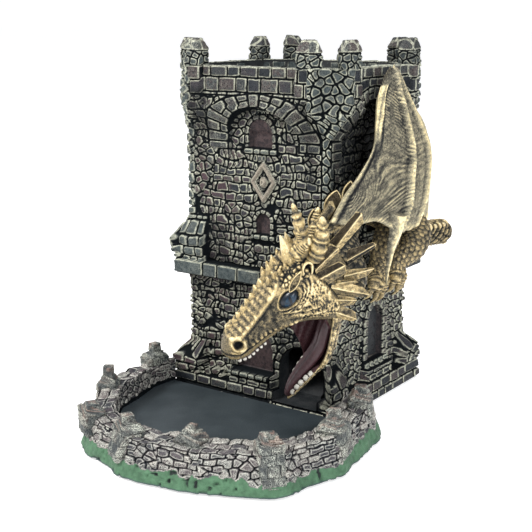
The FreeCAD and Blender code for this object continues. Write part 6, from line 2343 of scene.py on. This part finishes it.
def membrane(parts):
    grid = np.transpose(spline_rows(WING_ROWS, 300), (1, 0, 2))
    grid = np.transpose(spline_rows(grid, 230), (1, 0, 2)).copy()
    u = np.interp(np.linspace(0, 5, 230), np.arange(6), WING_SHARES)[None, :]
    v = np.linspace(0, 1, 300)[:, None]
    # pull the hem up between the ribs
    arches = 3.5 * bell(u - 0.27, 0.10) + 1.0 * bell(u - 0.62, 0.05)
    grid[..., 2] += smooth(v, 0.80, 1.0) * arches
    across = np.gradient(grid, axis=1)
    normal = unit(np.cross(np.gradient(grid, axis=0), across))
    normal = np.where(normal[..., :1] < 0, -normal, normal)
    steps = np.linalg.norm(across, axis=-1)
    width = steps.sum(1)[:, None]
    z = grid[..., 2]
    space = np.stack([np.cumsum(steps, 1), z, np.zeros_like(z)], -1)
    # wrinkles sweep down away from each rib, so they read as stacked arcs: fine and strong
    # on the front panel, soft on the rear panels, fading towards the apex
    from_rib = (u - 0.46) * width
    low = -0.10 * from_rib + 5.0 * (np.clip(-from_rib, 0, 40) / 18) ** 2
    front_slope = lerp(0.62 * from_rib, low, smooth(v, 0.42, 0.85))
    rear_slope = np.where(u < 0.64, 0.85 * from_rib,
                          -0.35 * (u - 0.64) * width + 0.85 * 0.18 * width)
    phase = z + np.where(u < 0.46, front_slope, rear_slope)
    phase = phase + 2.0 * (noise3(space, 8.0, 2) - 0.5) + 0.7 * (noise3(space, 2.4, 6) - 0.5)
    wrinkle = sawtooth(phase / np.where(u < 0.47, 1.9, 3.1), 0.55)
    broken = wrinkle * (0.35 + 0.65 * smooth(noise3(space, 3.2, 9), 0.30, 0.55))
    strength = np.where(u < 0.47, 1.0, lerp(0.42, 0.30, smooth(u, 0.62, 0.78)))
    strength = strength * lerp(0.35, 1.0, smooth(v, 0.06, 0.26))
    strength = strength * (1 - 0.35 * smooth(u, 0.10, 0.02))
    strength = strength * lerp(0.45, 1.0, smooth(noise3(space, 9.0, 17), 0.30, 0.55))
    patches = noise3(space * np.array([1.0, 0.45, 1.0]), 2.2, 19)
    strength = strength * lerp(0.55, 1.15, smooth(patches, 0.34, 0.60))
    push = 0.50 * strength * (broken - 0.4)
    cav = 0.495 + 0.56 * strength * (broken - 0.42) + 0.10 * smooth(u, 0.47, 0.55)
    for share, rib_width, height, bright in WING_RIBS:
        rib = bell((u - share) * width, rib_width) * plateau(v, -0.02, 0.04, 0.96, 1.02)
        push = push + height * rib
        cav = cav + bright * rib
    # the bone along the front edge, brightest half way down, then a thin lip
    edge = u * width
    bone = (1 - smooth(edge, 4.3, 5.6)) * smooth(v, 0.17, 0.215)
    knob = 0.35 * np.abs(np.sin(z * 0.42)) ** 6
    push = push + bone * (1.2 + knob * 0.7) * (1 - 0.8 * smooth(v, 0.50, 0.62))
    cav = lerp(cav, 0.99 - 0.25 * knob - 0.35 * bell(edge - 3.1, 0.5),
               bone * (1 - smooth(v, 0.46, 0.56)))
    cav = cav - 0.45 * bell(edge - 6.1, 0.6) * plateau(v, 0.17, 0.22, 0.5, 0.6)
    cav = lerp(cav, 0.36, (1 - smooth(v, 0.10, 0.17)) * (1 - smooth(u, 0.25, 0.36)) * 0.7)
    lip = bell(edge - 0.9, 0.9)
    cav = lerp(cav, 0.90, lip * 0.8 * smooth(v, 0.5, 0.6))
    groove = bell(edge - 3.4, 0.9) * smooth(v, 0.5, 0.62)
    push = push + 0.5 * lip - 0.8 * groove
    cav = cav - 0.5 * groove
    # scalloped rear edge
    rear = (1 - u) * width
    push = push + 0.6 * bell(rear, 1.2)
    cav = cav + 0.25 * bell(rear - 0.8, 0.9)
    scallop = np.abs(np.sin(z / 5.6)) ** 0.6
    grid = grid + (np.array([0, 1.0, 0]) * (scallop - 0.6)[..., None] * 1.1
                   * bell(rear, 2.4)[..., None])
    # thickened hem
    hem = (1 - v) * 75.0
    roll = bell(hem - 1.0, 1.2)
    grain = noise3(space, 0.7, 12) - 0.5
    cav = cav + 0.30 * roll + 0.25 * grain
    push = push + 0.5 * roll + 0.16 * grain
    front = grid + normal * push[..., None]
    thick = np.minimum(np.minimum(edge, rear) / 1.6, hem / 1.6 + 0.15)
    thick = 2.4 * np.minimum(1, thick) + 0.3
    back = grid - normal * thick[..., None]
    back = back + normal * (0.30 * (wrinkle - 0.5) * np.minimum(1, thick / 2.0))[..., None]
    parts.grid(front, flip=True, cav=np.clip(cav, 0, 1.05))
    parts.grid(back, cav=np.clip(0.25 + 0.3 * wrinkle, 0, 1), tone=0.25)
    for col, flip in ((0, False), (-1, True)):
        parts.grid(np.stack([front[:, col], back[:, col]], 1), flip=flip, cav=0.75)
    for row, flip in ((0, True), (-1, False)):
        parts.grid(np.stack([front[row], back[row]], 0), flip=flip, cav=0.7)


def wing():
    parts = Parts(*METAL)
    membrane(parts)
    # the wing's hanging talon, flaring into the hem
    t, angle = np.linspace(0, 1, 120)[:, None], full_turn(40)
    line, _ = smooth_curve([(72.6, -23.0, 106.0), (72.0, -24.4, 98.0), (69.6, -24.8, 90.0),
                            (67.6, -23.6, 82.0), (66.2, -22.4, 75.0), (65.8, -21.6, 70.0)],
                           120)
    centre_x, centre_y, centre_z = line.T[..., None]
    half_y = 8.8 * (1 - t) ** 2.6 + 2.0 * (1 - t) ** 0.8 + 0.15
    half_x = 1.6 * (1 - t) ** 0.8 + 0.25
    ridge = np.clip(np.cos(angle), 0, 1) ** 6
    x = centre_x + half_x * np.cos(angle) * (1 + 0.9 * ridge)
    y = centre_y + half_y * np.sin(angle)
    z = centre_z + 3.84 * (1 - t) * np.sin(angle) ** 2
    grain = ripple(y, z, 0.9, 15)
    points = np.stack([x + 0.2 * grain, y, z], -1)
    parts.grid(points, closed=True, cav=np.clip(0.46 + 0.6 * ridge + 0.45 * grain, 0, 1.05))
    parts.cap(points[-1], cav=0.8)
    parts.cap(points[0], flip=True, cav=0.5)
    # wrist claw at the apex
    spike(parts, (57.4, -3.4, 171.5), (56.6, -2.4, 177.0), 1.6, steps=30, sides=16, seed=140,
          shine=0.5)
    dragon_piece(parts, "wing_membrane", "dragon_wing", WING_KHAKI, "wing_khaki")


for build in (skull, horns, neck_leaves, brow_plates, frill, eyes, lower_jaw, mouth_curtain,
              tongue, teeth, body_and_limbs, wing):
    build()
for node, objects in dragon.items():
    for obj in objects:
        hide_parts(node)

# ======================================================================================
# Stage, light and camera, in metres
# ======================================================================================


def studio_floor():
    material = bpy.data.materials.new("studio_floor")
    material.use_nodes = True
    inputs = material.node_tree.nodes["Principled BSDF"].inputs
    for key, value in {"Base Color": (0.72, 0.72, 0.725, 1), "Emission Color": (1, 1, 1, 1),
                       "Emission Strength": 0.62, "Roughness": 0.9,
                       "Specular IOR Level": 0.1}.items():
        inputs[key].default_value = value
    bpy.ops.mesh.primitive_plane_add(size=30, location=(0, 0, -0.00005))
    floor = bpy.context.object
    floor.name = "studio_floor"
    floor.data.materials.append(material)


def studio_world():
    """Soft bluish light, with a plain white backdrop for the camera only."""
    world = bpy.data.worlds.new("studio")
    bpy.context.scene.world = world
    world.use_nodes = True
    nodes, links = world.node_tree.nodes, world.node_tree.links
    light = nodes["Background"]
    backdrop = nodes.new("ShaderNodeBackground")
    for background, color, strength in ((light, (0.95, 0.97, 1.0, 1), 0.55),
                                        (backdrop, (1.0, 1.0, 1.0, 1), 1.05)):
        background.inputs[0].default_value = color
        background.inputs[1].default_value = strength
    path = nodes.new("ShaderNodeLightPath")
    mix = nodes.new("ShaderNodeMixShader")
    links.new(path.outputs["Is Camera Ray"], mix.inputs[0])
    links.new(light.outputs[0], mix.inputs[1])
    links.new(backdrop.outputs[0], mix.inputs[2])
    links.new(mix.outputs[0], nodes["World Output"].inputs[0])


def area_light(name, location, target, size, power, color=(1, 1, 1)):
    data = bpy.data.lights.new(name, "AREA")
    data.shape = "SQUARE"
    data.size = size
    data.energy = power
    data.color = color
    light = bpy.data.objects.new(name, data)
    bpy.context.scene.collection.objects.link(light)
    light.location = location
    aim = Vector(target) - Vector(location)
    light.rotation_euler = aim.to_track_quat("-Z", "Y").to_euler()


def add_camera():
    """Looks from the front right, a little from above."""
    data = bpy.data.cameras.new("camera")
    data.sensor_width = 36.0
    data.sensor_fit = "HORIZONTAL"
    data.lens = 72.097444
    data.clip_start = 0.01
    data.clip_end = 50.0
    camera = bpy.data.objects.new("camera", data)
    bpy.context.scene.collection.objects.link(camera)
    heading, pitch = math.radians(35.0), math.radians(13.2)
    back = Vector((math.sin(heading) * math.cos(pitch), -math.cos(heading) * math.cos(pitch),
                   math.sin(pitch)))
    camera.location = Vector((311.15, -476.0, 200.07)) * MM
    camera.rotation_euler = back.to_track_quat("Z", "Y").to_euler()
    bpy.context.scene.camera = camera


studio_floor()
studio_world()
area_light("key_light", location=(-0.60, -0.80, 1.05), target=(0, -0.03, 0.08), size=0.42,
           power=20.0, color=(1.0, 0.985, 0.96))
area_light("fill_light", location=(0.95, -0.60, 0.55), target=(0, -0.03, 0.08), size=0.55,
           power=8.0, color=(0.97, 0.985, 1.0))
area_light("top_light", location=(0.15, 0.15, 1.25), target=(0, 0, 0.1), size=0.6, power=7.0)
add_camera()
bpy.context.scene.view_settings.view_transform = "Standard"
